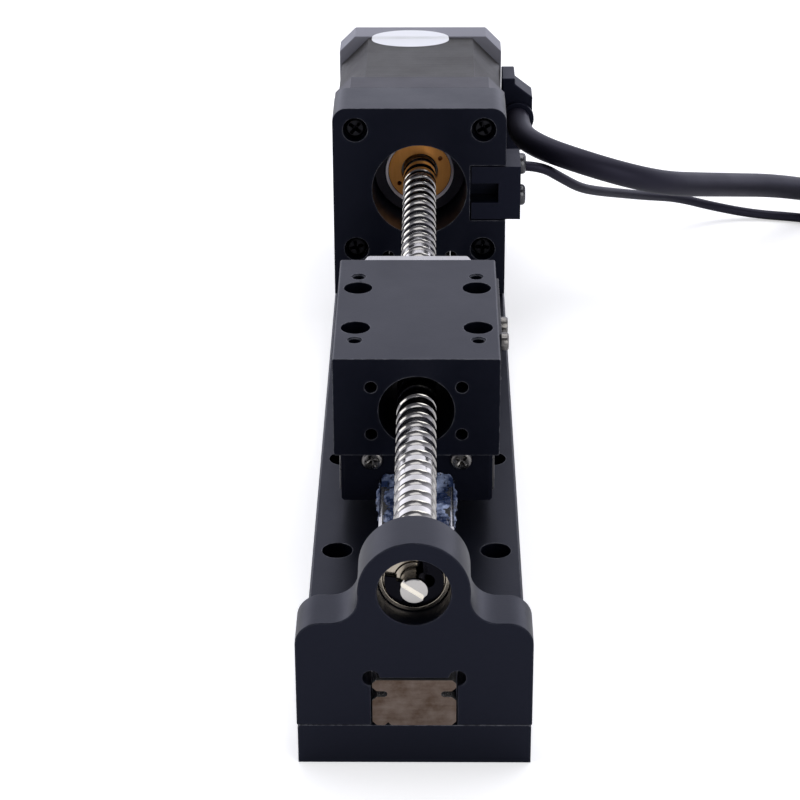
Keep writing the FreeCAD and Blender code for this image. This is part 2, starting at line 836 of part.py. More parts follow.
def guide_ends():
    """A plastic end cap and a seal on each end of the guide block, held by two screws."""
    half = s.guide_width / 2
    reach = s.guide_body_long / 2
    small = s.small_thread + 2 * s.screw_fit
    holes = [(side * s.cap_screw_x, cap_screw_z, small) for side in (-1, 1)]
    pieces = (
        ("cap", reach, s.cap_long, s.cap_inset, s.cap_gap, s.guide_edge),
        ("seal", reach + s.cap_long, s.seal_thick, s.seal_inset, s.seal_gap, s.guide_edge),
    )
    for kind, start, long, inset, gap, edge in pieces:
        for name, y in (("front", -start - long), ("rear", start)):
            body = new_body(f"guide_{name}_{kind}")
            pad(body, "Plate", "XZ_Plane", y, long,
                [guide_loop(half - inset, guide_low + inset, guide_top - inset, gap, edge)])
            cut(body, "Holes", "XZ_Plane", y, long, 1, circles=holes)
            place(body, y=carriage_y)
    face = reach + s.cap_long + s.seal_thick
    length = s.cap_long + s.seal_thick + s.small_thread_deep
    for name, way in (("front", -1), ("rear", 1)):
        screws(f"guide_{name}_cap_screws", s.small_head, s.small_head_high, s.small_thread, length, name,
               [(x, carriage_y + way * face, z) for x, z, _ in holes])


nut_front = s.carriage_long / 2 - s.nut_body_long
nut_rear = s.carriage_long / 2 + s.nut_flange_thick


def ball_nut():
    """The nut: a round body in the housing's bore and a flange behind it with two flats."""
    bore = s.screw_size / 2 + s.nut_play
    flange_start = s.carriage_long / 2
    body = turned("ball_nut", [
        (nut_front, s.wiper_seat / 2),
        (nut_front + s.wiper_thick, s.wiper_seat / 2),
        (nut_front + s.wiper_thick, bore),
        (nut_rear - s.wiper_thick, bore),
        (nut_rear - s.wiper_thick, s.wiper_seat / 2),
        (nut_rear, s.wiper_seat / 2),
        (nut_rear, s.nut_flange / 2 - s.head_edge),
        (nut_rear - s.head_edge, s.nut_flange / 2),
        (flange_start, s.nut_flange / 2),
        (flange_start, s.nut_body / 2),
        (nut_front + s.head_edge, s.nut_body / 2),
        (nut_front, s.nut_body / 2 - s.head_edge),
    ], carriage_y)
    reach = s.nut_flange
    cut(body, "Flats", "XZ_Plane", flange_start, s.nut_flange_thick, 1, loops=[
        box_loop(-reach, s.nut_flat, reach, reach),
        box_loop(-reach, -reach, reach, -s.nut_flat),
    ])
    cut(body, "BoltHoles", "XZ_Plane", flange_start, s.nut_flange_thick, 1,
        circles=[(x, z, s.clear_hole) for x, z in corners(s.nut_bolt_x, s.nut_bolt_z)])


def nut_wipers():
    inner = s.screw_size + 2 * s.wiper_gap
    outer = s.wiper_seat - 2 * s.seat_fit
    turned("nut_front_wiper", ring(nut_front, nut_front + s.wiper_thick, inner, outer), carriage_y)
    turned("nut_rear_wiper", ring(nut_rear - s.wiper_thick, nut_rear, inner, outer), carriage_y)


def nut_screws():
    length = s.nut_flange_thick + s.nut_thread_deep - s.tip_gap
    screws("nut_screws", s.cap_head, s.cap_head_high, s.screw_thread, length, "rear",
           [(x, carriage_y + nut_rear, s.axis_high + z) for x, z in corners(s.nut_bolt_x, s.nut_bolt_z)])


def sensor_flag():
    """A bent strip: its plate is screwed to the carriage's side and its tab trips the sensor."""
    body = new_body("sensor_flag")
    side = s.carriage_width / 2
    outer = side + s.flag_thick
    tab_start = nut_rear + s.tab_behind_nut
    tab_end = tab_start + s.tab_long
    pad(body, "Plate", "YZ_Plane", side, s.flag_thick,
        [box_loop(s.flag_front, s.flag_low, tab_start + s.tab_round, s.flag_top)])
    tab_low = s.tab_z - s.flag_thick / 2
    pad(body, "Tab", "XY_Plane", tab_low, s.flag_thick, [[
        (s.tab_inner_x, tab_start),
        (outer, tab_start),
        (outer, tab_end - s.tab_round),
        (outer - s.tab_round, tab_end, s.tab_round),
        (s.tab_inner_x + s.tab_round, tab_end),
        (s.tab_inner_x, tab_end - s.tab_round, s.tab_round),
    ]])
    cut(body, "Holes", "YZ_Plane", outer, s.flag_thick, -1,
        circles=[(s.flag_screw_y + index * s.flag_screw_pitch, s.flag_screw_z, s.flag_thread + 2 * s.screw_fit)
                 for index in (0, 1)])
    place(body, y=carriage_y)
    screws("flag_screws", s.flag_head, s.flag_head_high, s.flag_thread, s.flag_thick + s.flag_thread_deep,
           "right", [(outer, carriage_y + s.flag_screw_y + index * s.flag_screw_pitch, s.flag_screw_z)
                     for index in (0, 1)])


def motor_bracket():
    body = new_body("motor_bracket")
    half = s.base_width / 2
    slot, slot_top = rail_slot()
    half_loop = [
        (0, slot_top),
        (slot, slot_top),
        (slot, s.base_thick),
        (half, s.base_thick),
        (half, s.bracket_top - s.bracket_round),
        (half - s.bracket_round, s.bracket_top, s.bracket_round),
        (0, s.bracket_top),
    ]
    pad(body, "Plate", "XZ_Plane", bracket_y, s.bracket_deep, [both_sides(half_loop)])
    cut(body, "SlotReliefs", "XZ_Plane", bracket_y, s.bracket_deep, 1,
        circles=[(side * slot, slot_top, s.relief_hole) for side in (-1, 1)])
    cut(body, "Bore", "XZ_Plane", bracket_y, s.bracket_deep, 1, circles=[(0, s.axis_high, s.bracket_bore)])
    bolts = [(x, s.axis_high + z) for x, z in corners(s.motor_bolt, s.motor_bolt)]
    cut(body, "MotorHoles", "XZ_Plane", bracket_y, s.bracket_deep, 1,
        circles=[(x, z, s.clear_hole) for x, z in bolts])
    cut(body, "MotorHeads", "XZ_Plane", bracket_y, s.motor_head_sunk + s.pan_head_high, 1,
        circles=[(x, z, s.motor_head_bore) for x, z in bolts])
    cut(body, "Threads", "XY_Plane", s.base_thick, s.bracket_thread_deep + s.tip_gap, 1,
        circles=[(side * s.bracket_screw_x, bracket_mid_y, filled_hole) for side in (-1, 1)])
    half_high = s.sensor_high / 2 + s.sensor_gap
    cut(body, "SensorPocket", "XZ_Plane", bracket_y, s.sensor_deep + s.sensor_gap, 1, loops=[
        box_loop(s.sensor_tip_x - s.sensor_gap, s.sensor_centre_z - half_high,
                 half + s.sensor_flange, s.sensor_centre_z + half_high)])
    cut(body, "SensorThreads", "YZ_Plane", half, s.sensor_thread_deep + s.tip_gap, -1,
        circles=[(bracket_y + s.sensor_screw_y, s.sensor_centre_z + way * s.sensor_screw_z,
                  s.small_thread + 2 * s.screw_fit) for way in (-1, 1)])


def motor_screws():
    seat = bracket_y + s.motor_head_sunk + s.pan_head_high
    length = s.bracket_deep - s.motor_head_sunk - s.pan_head_high + s.motor_thread_deep
    screws("motor_screws", s.pan_head, s.pan_head_high, s.screw_thread, length, "front",
           [(x, seat, s.axis_high + z) for x, z in corners(s.motor_bolt, s.motor_bolt)])


cap_end = s.motor_cap_long
stack_end = s.motor_cap_long + s.stack_long
motor_end = 2 * s.motor_cap_long + s.stack_long
nut_inner_end = s.ring_nut_thick - s.pilot_long
bearing_end = nut_inner_end + s.motor_bearing_wide
rear_bearing_start = stack_end + s.coil_room_deep
motor_bolts = [(x, s.axis_high + z) for x, z in corners(s.motor_bolt, s.motor_bolt)]


def motor_square(face, corner):
    return chamfered_box(face / 2, s.axis_high - face / 2, s.axis_high + face / 2, corner)


def motor_front_cap():
    body = new_body("motor_front_cap")
    centre = (0, s.axis_high)
    pad(body, "Flange", "XZ_Plane", 0, s.motor_cap_long, [motor_square(s.motor_face, s.motor_cap_corner)])
    pad(body, "Pilot", "XZ_Plane", -s.pilot_long, s.pilot_long, circles=[centre + (s.pilot,)])
    cut(body, "Throat", "XZ_Plane", -s.pilot_long, motor_end, 1,
        circles=[centre + (s.motor_bearing_outer - 2 * s.ring_wall,)])
    cut(body, "NutThread", "XZ_Plane", -s.pilot_long, s.ring_nut_thick, 1,
        circles=[centre + (s.ring_nut + 2 * s.screw_fit,)])
    cut(body, "BearingSeat", "XZ_Plane", nut_inner_end, s.motor_bearing_wide, 1,
        circles=[centre + (s.motor_bearing_outer,)])
    cut(body, "CoilRoom", "XZ_Plane", cap_end, s.coil_room_deep, -1, circles=[centre + (s.coil_room,)])
    cut(body, "Threads", "XZ_Plane", 0, s.motor_cap_long, 1,
        circles=[(x, z, filled_hole) for x, z in motor_bolts])
    place(body, y=rear_y)


def pole_loops(inner, outer, half_angle):
    """One loop for each slot between two poles, from an inner to an outer radius."""
    loops = []
    for index in range(MOTOR_POLES):
        middle = 2 * math.pi * (index + 0.5) / MOTOR_POLES
        loops.append([
            (radius * math.cos(middle + way * half_angle),
             s.axis_high + radius * math.sin(middle + way * half_angle))
            for radius, way in ((inner, -1), (outer, -1), (outer, 1), (inner, 1))
        ])
    return loops


def motor_stator():
    body = new_body("motor_stator")
    pad(body, "Stack", "XZ_Plane", cap_end, s.stack_long, [motor_square(s.stack_face, s.stack_corner)])
    cut(body, "Bore", "XZ_Plane", cap_end, s.stack_long, 1, circles=[(0, s.axis_high, s.stator_bore)])
    inner = s.stator_bore / 2 - s.coil_gap
    outer = s.stator_bore / 2 + s.slot_deep
    angle = math.radians(cell("slot_half_angle"))
    cut(body, "Slots", "XZ_Plane", cap_end, s.stack_long, 1, loops=pole_loops(inner, outer, angle))
    cut(body, "BoltHoles", "XZ_Plane", cap_end, s.stack_long, 1,
        circles=[(x, z, s.clear_hole) for x, z in motor_bolts])
    place(body, y=rear_y)


def motor_windings():
    sketch = loose_sketch("motor_windings_profile")
    inner = s.stator_bore / 2 + s.coil_gap
    outer = s.stator_bore / 2 + s.slot_deep - s.coil_gap
    angle = math.radians(cell("slot_half_angle")) - s.coil_gap.value / inner.value
    for loop in pole_loops(inner, outer, angle):
        draw_loop(sketch, loop)
    made = doc.addObject("Part::Extrusion", "motor_windings")
    made.Label = "motor_windings"
    made.Base = sketch
    made.DirMode = "Custom"
    made.Dir = FreeCAD.Vector(0, 1, 0)
    made.Solid = True
    bind(made, "LengthFwd", s.stack_long + 2 * s.coil_out)
    place(made, y=rear_y + cap_end - s.coil_out)
    node(made)


def motor_rear_cap():
    body = new_body("motor_rear_cap")
    centre = (0, s.axis_high)
    pad(body, "Cap", "XZ_Plane", stack_end, s.motor_cap_long, [motor_square(s.motor_face, s.motor_cap_corner)])
    cut(body, "CoilRoom", "XZ_Plane", stack_end, s.coil_room_deep, 1, circles=[centre + (s.coil_room,)])
    cut(body, "BearingSeat", "XZ_Plane", rear_bearing_start, s.motor_bearing_wide, 1,
        circles=[centre + (s.motor_bearing_outer,)])
    cut(body, "Boss", "XZ_Plane", motor_end, s.boss_deep, -1, circles=[centre + (s.boss_size,)])
    cut(body, "BoltHoles", "XZ_Plane", motor_end, s.motor_cap_long, -1,
        circles=[(x, z, s.clear_hole) for x, z in motor_bolts])
    cut(body, "BoltHeads", "XZ_Plane", motor_end, s.body_screw_sunk, -1,
        circles=[(x, z, s.motor_head_bore) for x, z in motor_bolts])
    place(body, y=rear_y)


def motor_body_screws():
    seat = rear_y + motor_end - s.body_screw_sunk
    length = motor_end - s.body_screw_sunk - s.motor_thread_deep - 2 * s.tip_gap
    screws("motor_body_screws", s.pan_head, s.pan_head_high, s.screw_thread, length, "rear",
           [(x, seat, z) for x, z in motor_bolts])


def motor_ring_nut():
    """The thin nut that holds the motor's front bearing, with two holes for a pin spanner."""
    body = turned("motor_ring_nut",
                  ring(-s.pilot_long, nut_inner_end, s.ring_nut_hole, s.ring_nut), rear_y)
    angle = math.radians(cell("pin_turn"))
    holes = [(side * s.pin_circle * math.cos(angle), side * s.pin_circle * math.sin(angle), s.pin_hole)
             for side in (-1, 1)]
    cut(body, "PinHoles", "XZ_Plane", -s.pilot_long, s.ring_nut_thick, 1, circles=holes)


def motor_bearings():
    for name, start in (("front", nut_inner_end), ("rear", rear_bearing_start)):
        bearing_rings(f"motor_{name}_bearing_outer_ring", f"motor_{name}_bearing_inner_ring",
                      s.motor_bearing_outer, s.motor_bearing_inner, s.motor_bearing_wide, rear_y + start)


def rotor():
    """The hollow rotor: a sleeve on the screw, and two iron cores with a magnet disc between them."""
    sleeve_start = nut_inner_end
    sleeve_end = rear_bearing_start + s.motor_bearing_wide
    turned("rotor_sleeve",
           ring(sleeve_start, sleeve_end, s.screw_size + 2 * s.sleeve_fit, s.motor_bearing_inner), rear_y)
    outer = s.stator_bore - 2 * s.air_gap
    inner = s.motor_bearing_inner + 2 * s.sleeve_fit
    start = cap_end + s.core_start
    turned("rotor_front_core", ring(start, start + s.core_long, inner, outer), rear_y)
    start = start + s.core_long + s.core_gap
    turned("rotor_magnet", ring(start, start + s.magnet_long, inner, outer - 2 * s.magnet_drop), rear_y)
    start = start + s.magnet_long + s.core_gap
    turned("rotor_rear_core", ring(start, start + s.core_long, inner, outer), rear_y)


def cable_outlet():
    """The moulded outlet on the motor's side: a plate, a sloped cover before it, and a round gland."""
    body = new_body("cable_outlet")
    inner = s.motor_face / 2
    step = inner + s.outlet_plate
    outer = step + s.outlet_cover
    pad(body, "Plate", "XZ_Plane", s.outlet_y, s.outlet_long,
        [box_loop(inner, s.outlet_plate_low, step, s.outlet_plate_top)])
    pad(body, "Cover", "XZ_Plane", s.outlet_y, s.outlet_cover_long, [[
        (inner, s.outlet_cover_low),
        (outer, s.outlet_cover_low),
        (outer, s.outlet_shoulder - s.outlet_slope),
        (step, s.outlet_shoulder),
        (inner, s.outlet_shoulder),
    ]])
    place(body, y=rear_y)
    gland = new_body("cable_gland")
    pad(gland, "Collar", "XZ_Plane", -s.gland_long, s.gland_long, circles=[(0, 0, s.gland_size)])
    place(gland, s.gland_x, rear_y + s.outlet_y, s.gland_z)


def sensor():
    """A slotted light barrier: two arms in the bracket's pocket and a flange screwed to its side."""
    body = new_body("sensor_body")
    half = s.sensor_high / 2
    low = s.sensor_centre_z - half
    high = s.sensor_centre_z + half
    side = s.base_width / 2
    outer = side + s.sensor_flange
    pad(body, "Arms", "XZ_Plane", bracket_y, s.sensor_deep, [box_loop(s.sensor_tip_x, low, outer, high)])
    pad(body, "Flange", "XZ_Plane", bracket_y, s.sensor_flange_deep, [box_loop(side, low, outer, high)])
    outlet_half = s.sensor_outlet_high / 2
    pad(body, "Outlet", "XZ_Plane", bracket_y + s.sensor_flange_deep, s.sensor_outlet,
        [box_loop(side, s.sensor_cable_z - outlet_half, outer, s.sensor_cable_z + outlet_half)])
    slot = s.sensor_slot / 2
    cut(body, "Slot", "XZ_Plane", bracket_y, s.sensor_deep, 1, loops=[
        box_loop(s.sensor_tip_x - s.sensor_gap, s.sensor_centre_z - slot,
                 s.sensor_tip_x + s.sensor_slot_end, s.sensor_centre_z + slot)])
    holes = [(bracket_y + s.sensor_screw_y, s.sensor_centre_z + way * s.sensor_screw_z) for way in (-1, 1)]
    cut(body, "Holes", "YZ_Plane", outer, s.sensor_flange, -1,
        circles=[(y, z, s.small_thread + 2 * s.screw_fit) for y, z in holes])
    screws("sensor_screws", s.sensor_head, s.sensor_head_high, s.small_thread,
           s.sensor_flange + s.sensor_thread_deep, "right", [(outer, y, z) for y, z in holes])
    boot = new_body("sensor_cable_boot")
    pad(boot, "Boot", "YZ_Plane", 0, s.sensor_boot_long, circles=[(0, 0, s.sensor_boot)])
    place(boot, outer, bracket_y + s.sensor_cable_y, s.sensor_cable_z)


# Each route's points were chosen by hand, so that seen from the front the cable follows the real one's curve.
# The first point is where the cable leaves its gland, and the last is where its coil starts.
MOTOR_CABLE_ROUTE = [
    (25, 128.5, 39.1),
    (25, 118, 39.1),
    (29.7, 107.6, 39.3),
    (38.9, 100.8, 38.3),
    (50.6, 99.9, 34.9),
    (61.4, 105.4, 30.4),
    (71.2, 117, 25.6),
    (82, 131, 20),
    (94, 145.4, 14.2),
    (107, 158.6, 7.6),
    (117.3, 164.8, 3.8),
    (128.2, 168.5, 3.1),
    (139.1, 170, 3.1),
    (149.6, 170, 3.1),
]
SENSOR_CABLE_ROUTE = [
    (25.8, 102.3, 36.3),
    (31.3, 102.3, 36.3),
    (36.4, 105.3, 32.3),
    (40.6, 110.6, 27.5),
    (45.6, 119, 23),
    (52, 129.4, 18.3),
    (60, 140, 13.4),
    (69, 149.4, 9.2),
    (79, 155.4, 4.3),
    (91, 157, 1.25),
    (103.5, 154.6, 1.25),
    (115.5, 149.8, 1.25),
    (127, 149.8, 1.25),
]
# The end of the motor cable rises out of the inner turn, lies across the coil and comes down beside it.
MOTOR_CABLE_TAIL = [
    (133.8, 188.2, 4.6),
    (153.6, 168.4, 9.9),
    (160, 162, 7.73),
]
# How far round each coil's ring goes, and how steeply the sensor cable's end comes down from it, in degrees.
COIL_SWEEP = 315
TAIL_SLOPE = 5
# What each bare lead goes sideways for each millimetre ahead, and its clearance from the sheath's end.
LEAD_FAN = 0.12
LEAD_GAP = 0.1


def cable_path(points):
    """Straight runs joined by tangent arcs, each as large as 0.45 of its shorter run allows."""
    edges = []
    radii = []
    here = points[0]
    for before, corner, after in zip(points, points[1:], points[2:]):
        run_in = corner - before
        run_out = after - corner
        half_turn = run_in.getAngle(run_out) / 2
        reach = 0.45 * min(run_in.Length, run_out.Length)
        radius = reach / math.tan(half_turn)
        run_in.normalize()
        run_out.normalize()
        start = corner - run_in * reach
        end = corner + run_out * reach
        inward = (run_out - run_in).normalize()
        middle = corner + inward * (radius / math.cos(half_turn) - radius)
        edges.append(Part.LineSegment(here, start).toShape())
        edges.append(Part.Arc(start, middle, end).toShape())
        radii.append(radius)
        here = end
    edges.append(Part.LineSegment(here, points[-1]).toShape())
    return Part.Wire(edges), radii


def cable(label, route, size):
    """A round cable along its route, as a plain tube that starts square to its gland."""
    points = [FreeCAD.Vector(*point) for point in route]
    path, radii = cable_path(points)
    start = points[1] - points[0]
    section = Part.Wire([Part.Circle(points[0], start, size / 2).toShape()])
    shape = path.makePipeShell([section], True, False)
    made = doc.addObject("Part::Feature", label)
    made.Label = label
    made.Shape = shape
    node(made)
    true_volume = math.pi * (size / 2) ** 2 * path.Length
    print(f"{label}: {path.Length:.1f} mm long, and its volume over section times length is",
          f"{shape.Volume / true_volume:.4f},")
    print("  bend radii in diameters:", ", ".join(f"{radius / size:.1f}" for radius in radii))
    return points[-1]


def round_box(middle, wide, high, corner):
    """A face in the XZ plane, standing on z = 0: a rectangle with round corners."""
    left, right = middle - wide / 2, middle + wide / 2
    edges = []
    places = [(right, 0, -90), (right, high, 0), (left, high, 90), (left, 0, 180)]
    ends = []
    for x, z, turn in places:
        centre = FreeCAD.Vector(x - math.copysign(corner, x - middle), 0, abs(z - corner))
        rim = [centre + FreeCAD.Vector(corner * math.cos(math.radians(turn + step)), 0,
                                       corner * math.sin(math.radians(turn + step))) for step in (0, 45, 90)]
        ends.append((rim, Part.Arc(*rim).toShape()))
    for index, (rim, arc) in enumerate(ends):
        edges.append(arc)
        following = ends[(index + 1) % 4][0][0]
        if rim[2].distanceToPoint(following) > 1e-6:
            edges.append(Part.LineSegment(rim[2], following).toShape())
    return Part.Face(Part.Wire(edges))


def cable_coil(label, start, size, radius, across, levels, way, start_angle, tail):
    """The outer shape of a wound cable: an open ring of turns side by side and on each other, and its tail.

    The ring starts at start, square to the cable that comes in on its outer turn. way is 1 for a coil that
    winds to the left and -1 for one that winds to the right. The tail is a route from the last turn to what
    is on the cable's end. Gives back that end, and the way that the cable has there.
    """
    middle = radius - (across - 1) * size / 2
    face = round_box(middle, across * size, levels * size, size / 2)
    shape = face.revolve(FreeCAD.Vector(), FreeCAD.Vector(0, 0, 1), way * COIL_SWEEP)
    shape.rotate(FreeCAD.Vector(), FreeCAD.Vector(0, 0, 1), start_angle)
    spoke = math.radians(start_angle)
    shape.translate(FreeCAD.Vector(start.x - radius * math.cos(spoke), start.y - radius * math.sin(spoke), 0))
    path, _ = cable_path(tail)
    section = Part.Wire([Part.Circle(tail[0], tail[1] - tail[0], size / 2).toShape()])
    made = doc.addObject("Part::Feature", label)
    made.Label = label
    made.Shape = shape.fuse(path.makePipeShell([section], True, False)).removeSplitter()
    node(made)
    return tail[-1], (tail[-1] - tail[-2]).normalize()


def motor_cable():
    size = cell("motor_cable")
    start = cable("motor_cable", MOTOR_CABLE_ROUTE, size)
    tail = [FreeCAD.Vector(*point) for point in MOTOR_CABLE_TAIL]
    end, ahead = cable_coil("motor_cable_coil", start, size, cell("motor_coil_radius"), 2.5, 1, 1, -90, tail)
    body = new_body("motor_cable_plug")
    wide = s.plug_wide / 2
    high = s.plug_high / 2
    pad(body, "Boot", "YZ_Plane", 0, s.plug_boot_long, circles=[(0, 0, s.motor_cable)])
    pad(body, "Housing", "YZ_Plane", s.plug_boot_long, s.plug_long, loops=[box_loop(-wide, -high, wide, high)])
    heading = FreeCAD.Rotation(FreeCAD.Vector(0, 0, 1), math.degrees(math.atan2(ahead.y, ahead.x)))
    pitch = FreeCAD.Rotation(FreeCAD.Vector(0, 1, 0), -math.degrees(math.asin(ahead.z)))
    body.Placement = FreeCAD.Placement(end, heading.multiply(pitch))


def sensor_cable():
    size = cell("sensor_cable")
    start = cable("sensor_cable", SENSOR_CABLE_ROUTE, size)
    slope = math.radians(TAIL_SLOPE)
    top = FreeCAD.Vector(start.x, start.y, 1.5 * size)
    tail = [top, top + FreeCAD.Vector(math.cos(slope), 0, -math.sin(slope)) * cell("sensor_tail")]
    end, ahead = cable_coil("sensor_cable_coil", start, size, cell("sensor_coil_radius"), 4.5, 2, -1, 90, tail)
    wires = []
    for index, (y, z) in enumerate(corners(s.lead_place, s.lead_place), start=1):
        wire = doc.addObject("Part::Cylinder", f"sensor_lead_{index}")
        bind(wire, "Radius", s.lead_size / 2)
        bind(wire, "Height", s.lead_long)
        fan = FreeCAD.Vector(ahead.x, math.copysign(LEAD_FAN, y.value), ahead.z)
        start_point = end + ahead * LEAD_GAP + FreeCAD.Vector(0, y.value, z.value)
        wire.Placement = FreeCAD.Placement(start_point, FreeCAD.Rotation(FreeCAD.Vector(0, 0, 1), fan))
        wires.append(wire)
    group("sensor_cable_leads", wires)


base_plate()
guide_rail()
rail_screws()
front_block()
foot_screws("front_block_screws", s.block_screw_x, block_mid_y, s.block_thread_deep)
front_bearing()
front_e_ring()
ball_screw()
carriage_housing()
carriage_screws()
guide_block()
guide_ends()
ball_nut()
nut_wipers()
nut_screws()
sensor_flag()
motor_bracket()
foot_screws("motor_bracket_screws", s.bracket_screw_x, bracket_mid_y, s.bracket_thread_deep)
motor_screws()
motor_front_cap()
motor_stator()
motor_windings()
motor_rear_cap()
motor_body_screws()
motor_ring_nut()
motor_bearings()
rotor()
cable_outlet()
sensor()
motor_cable()
sensor_cable()


def check_and_write():
    """Stops on a failed or empty object or on a cut that cut nothing, then writes each sub-part."""
    doc.recompute()
    for thing in doc.Objects:
        if "Invalid" in thing.State or "Error" in thing.State:
            raise RuntimeError(f"{thing.Label} did not build: {thing.State}")
    for made in NODES:
        if made.Shape.isNull() or not made.Shape.isValid():
            raise RuntimeError(f"{made.Label} has no valid shape")
        volume = 0
        for feature in getattr(made, "Group", []):
            if feature.TypeId == "PartDesign::Pocket" and feature.Shape.Volume >= volume - 1e-6:
                raise RuntimeError(f"{feature.Label} in {made.Label} cut nothing")
            if feature.TypeId.startswith("PartDesign::"):
                volume = feature.Shape.Volume
    os.makedirs("parts", exist_ok=True)
    for made in NODES:
        made.Shape.exportStep(f"parts/{made.Label}.step")
        print(f"{made.Label}: {len(made.Shape.Solids)} solids, {made.Shape.Volume:.1f} mm3")
    print(len(NODES), "nodes")


check_and_write()
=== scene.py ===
# %% [markdown]
# # A ball screw actuator, dressed for its photograph
#
# The model of this actuator already exists as plain solids: a base plate, a guide rail, a carriage on it, a
# long screw, and a motor. This lesson gives those solids their finishes and adds what they lack: the thread
# of the screw, the recesses in the small screws, the grease on the rail, a blank sticker, a collar whose pale
# colour is a painted highlight, and two cables.
#
# The solids come in as a fixed frame. They are never moved, so every new piece is worked out in their
# coordinates: X is across, Y runs from the bearing block to the motor, and Z is up.

# %% Load the fixed model and keep its box
import math

import bmesh
import bpy
import numpy as np
from mathutils import Matrix, Vector


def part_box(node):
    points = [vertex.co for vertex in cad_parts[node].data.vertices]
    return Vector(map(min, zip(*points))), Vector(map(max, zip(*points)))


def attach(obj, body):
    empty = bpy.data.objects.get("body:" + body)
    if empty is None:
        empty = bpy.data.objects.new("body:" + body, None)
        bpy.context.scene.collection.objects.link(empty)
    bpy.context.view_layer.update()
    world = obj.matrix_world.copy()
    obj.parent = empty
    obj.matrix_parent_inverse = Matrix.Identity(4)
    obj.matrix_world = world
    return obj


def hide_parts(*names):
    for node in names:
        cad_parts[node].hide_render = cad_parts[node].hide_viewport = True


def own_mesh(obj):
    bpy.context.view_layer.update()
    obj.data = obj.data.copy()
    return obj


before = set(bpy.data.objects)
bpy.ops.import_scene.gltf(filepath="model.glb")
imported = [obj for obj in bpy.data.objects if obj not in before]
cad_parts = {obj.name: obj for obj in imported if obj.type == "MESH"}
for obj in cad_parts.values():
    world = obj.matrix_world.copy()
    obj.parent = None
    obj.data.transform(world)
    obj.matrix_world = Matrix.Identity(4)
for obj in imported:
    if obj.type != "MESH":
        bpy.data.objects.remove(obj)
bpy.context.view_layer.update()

# %% [markdown]
# ## The camera
#
# A camera can be found from a photograph: about thirty corners and hole centres of the real thing are marked
# in it, and the camera's place, its three turns and its focal length are solved for, so that the same points
# of the model land on the marks. The answer is written here as plain numbers. The camera stands in front of
# the bearing block, a little to the right of the screw's axis, and looks down by 26 degrees.

# %% Place the camera that the photograph was taken with
MM = 0.001
CAMERA_PLACE = (3.211, -477.78, 258.85)
CAMERA_DOWN = 26.355
CAMERA_LEFT = 0.834
CAMERA_ROLL = -0.324
FOCAL_PIXELS = 2490.8
PICTURE_PIXELS = 800


def add_object(name, data):
    """A new object in the scene that shows this camera, lamp, mesh or curve."""
    thing = bpy.data.objects.new(name, data)
    bpy.context.scene.collection.objects.link(thing)
    return thing


def camera_turn(down, left, roll):
    """The camera's axes as a matrix: the way it looks comes from two turns, and its own roll is the third."""
    down, left, roll = (math.radians(angle) for angle in (down, left, roll))
    ahead = Vector((-math.sin(left) * math.cos(down), math.cos(left) * math.cos(down), -math.sin(down)))
    right = Vector((math.cos(left), math.sin(left), 0))
    up = right.cross(ahead)
    right, up = right * math.cos(roll) + up * math.sin(roll), up * math.cos(roll) - right * math.sin(roll)
    return Matrix((right, up, -ahead)).transposed().to_4x4()


def place_camera():
    lens = bpy.data.cameras.new("photo_camera")
    lens.sensor_width = 36
    lens.lens = FOCAL_PIXELS * lens.sensor_width / PICTURE_PIXELS
    lens.clip_start = 0.01
    camera = add_object("photo_camera", lens)
    place = Matrix.Translation(Vector(CAMERA_PLACE) * MM)
    camera.matrix_world = place @ camera_turn(CAMERA_DOWN, CAMERA_LEFT, CAMERA_ROLL)
    bpy.context.scene.camera = camera
    return lens.lens


print("lens:", round(place_camera(), 2), "mm")

# %% [markdown]
# ## Nodes without repetition
#
# Every finish is a small network of shader nodes. A few helpers keep those networks readable. One fills a
# node's inputs, with plain values or with links, and one adds a node. Two more add the kinds that are needed
# most, for arithmetic and for moving a value from one span to another. The last starts a new material whose
# shader is already joined to the output.

# %% Helpers for shader nodes


def fill(tree, node, inputs):
    """Sets inputs by name. A plain value is set, and another node's output is linked."""
    for name, value in inputs.items():
        if isinstance(value, bpy.types.NodeSocket):
            tree.links.new(value, node.inputs[name])
        else:
            node.inputs[name].default_value = value


def add_node(tree, kind, inputs=None, **settings):
    node = tree.nodes.new(kind)
    for name, value in settings.items():
        setattr(node, name, value)
    fill(tree, node, inputs or {})
    return node


def reckon(tree, operation, *values, **settings):
    """What a Math node makes of one or two values."""
    inputs = dict(enumerate(values))
    return add_node(tree, "ShaderNodeMath", inputs, operation=operation, **settings).outputs["Value"]


def rescale(tree, value, given, wanted, **settings):
    """A value moved from the given span to the wanted one, and held inside it."""
    inputs = {"Value": value, "From Min": given[0], "From Max": given[1],
              "To Min": wanted[0], "To Max": wanted[1]}
    return add_node(tree, "ShaderNodeMapRange", inputs, **settings).outputs["Result"]


def new_material(name):
    """A material with one Principled shader, and the node tree to build on."""
    material = bpy.data.materials.new(name)
    material.use_nodes = True
    tree = material.node_tree
    tree.nodes.clear()
    shader = add_node(tree, "ShaderNodeBsdfPrincipled")
    add_node(tree, "ShaderNodeOutputMaterial", {"Surface": shader.outputs["BSDF"]})
    return material, tree, shader


# %% [markdown]
# ## Soft studio light
#
# The photograph was lit by a large pale surface above and behind the actuator. That is why its tops are grey
# and its fronts nearly black: a satin surface mirrors what lies ahead of it, more strongly the flatter it is
# looked along. So the world is bright low down towards the back, and dimmer overhead and behind the camera.
# Three soft lamps add a little shape, and the small bright patches on the screw's thread are their mirror
# images. The camera itself sees plain white.

# %% Light, world and floor
FLOOR_SIZE = 3.0
FLOOR_GLOW = 0.45
STUDIO_TINT = (0.86, 0.87, 1, 1)


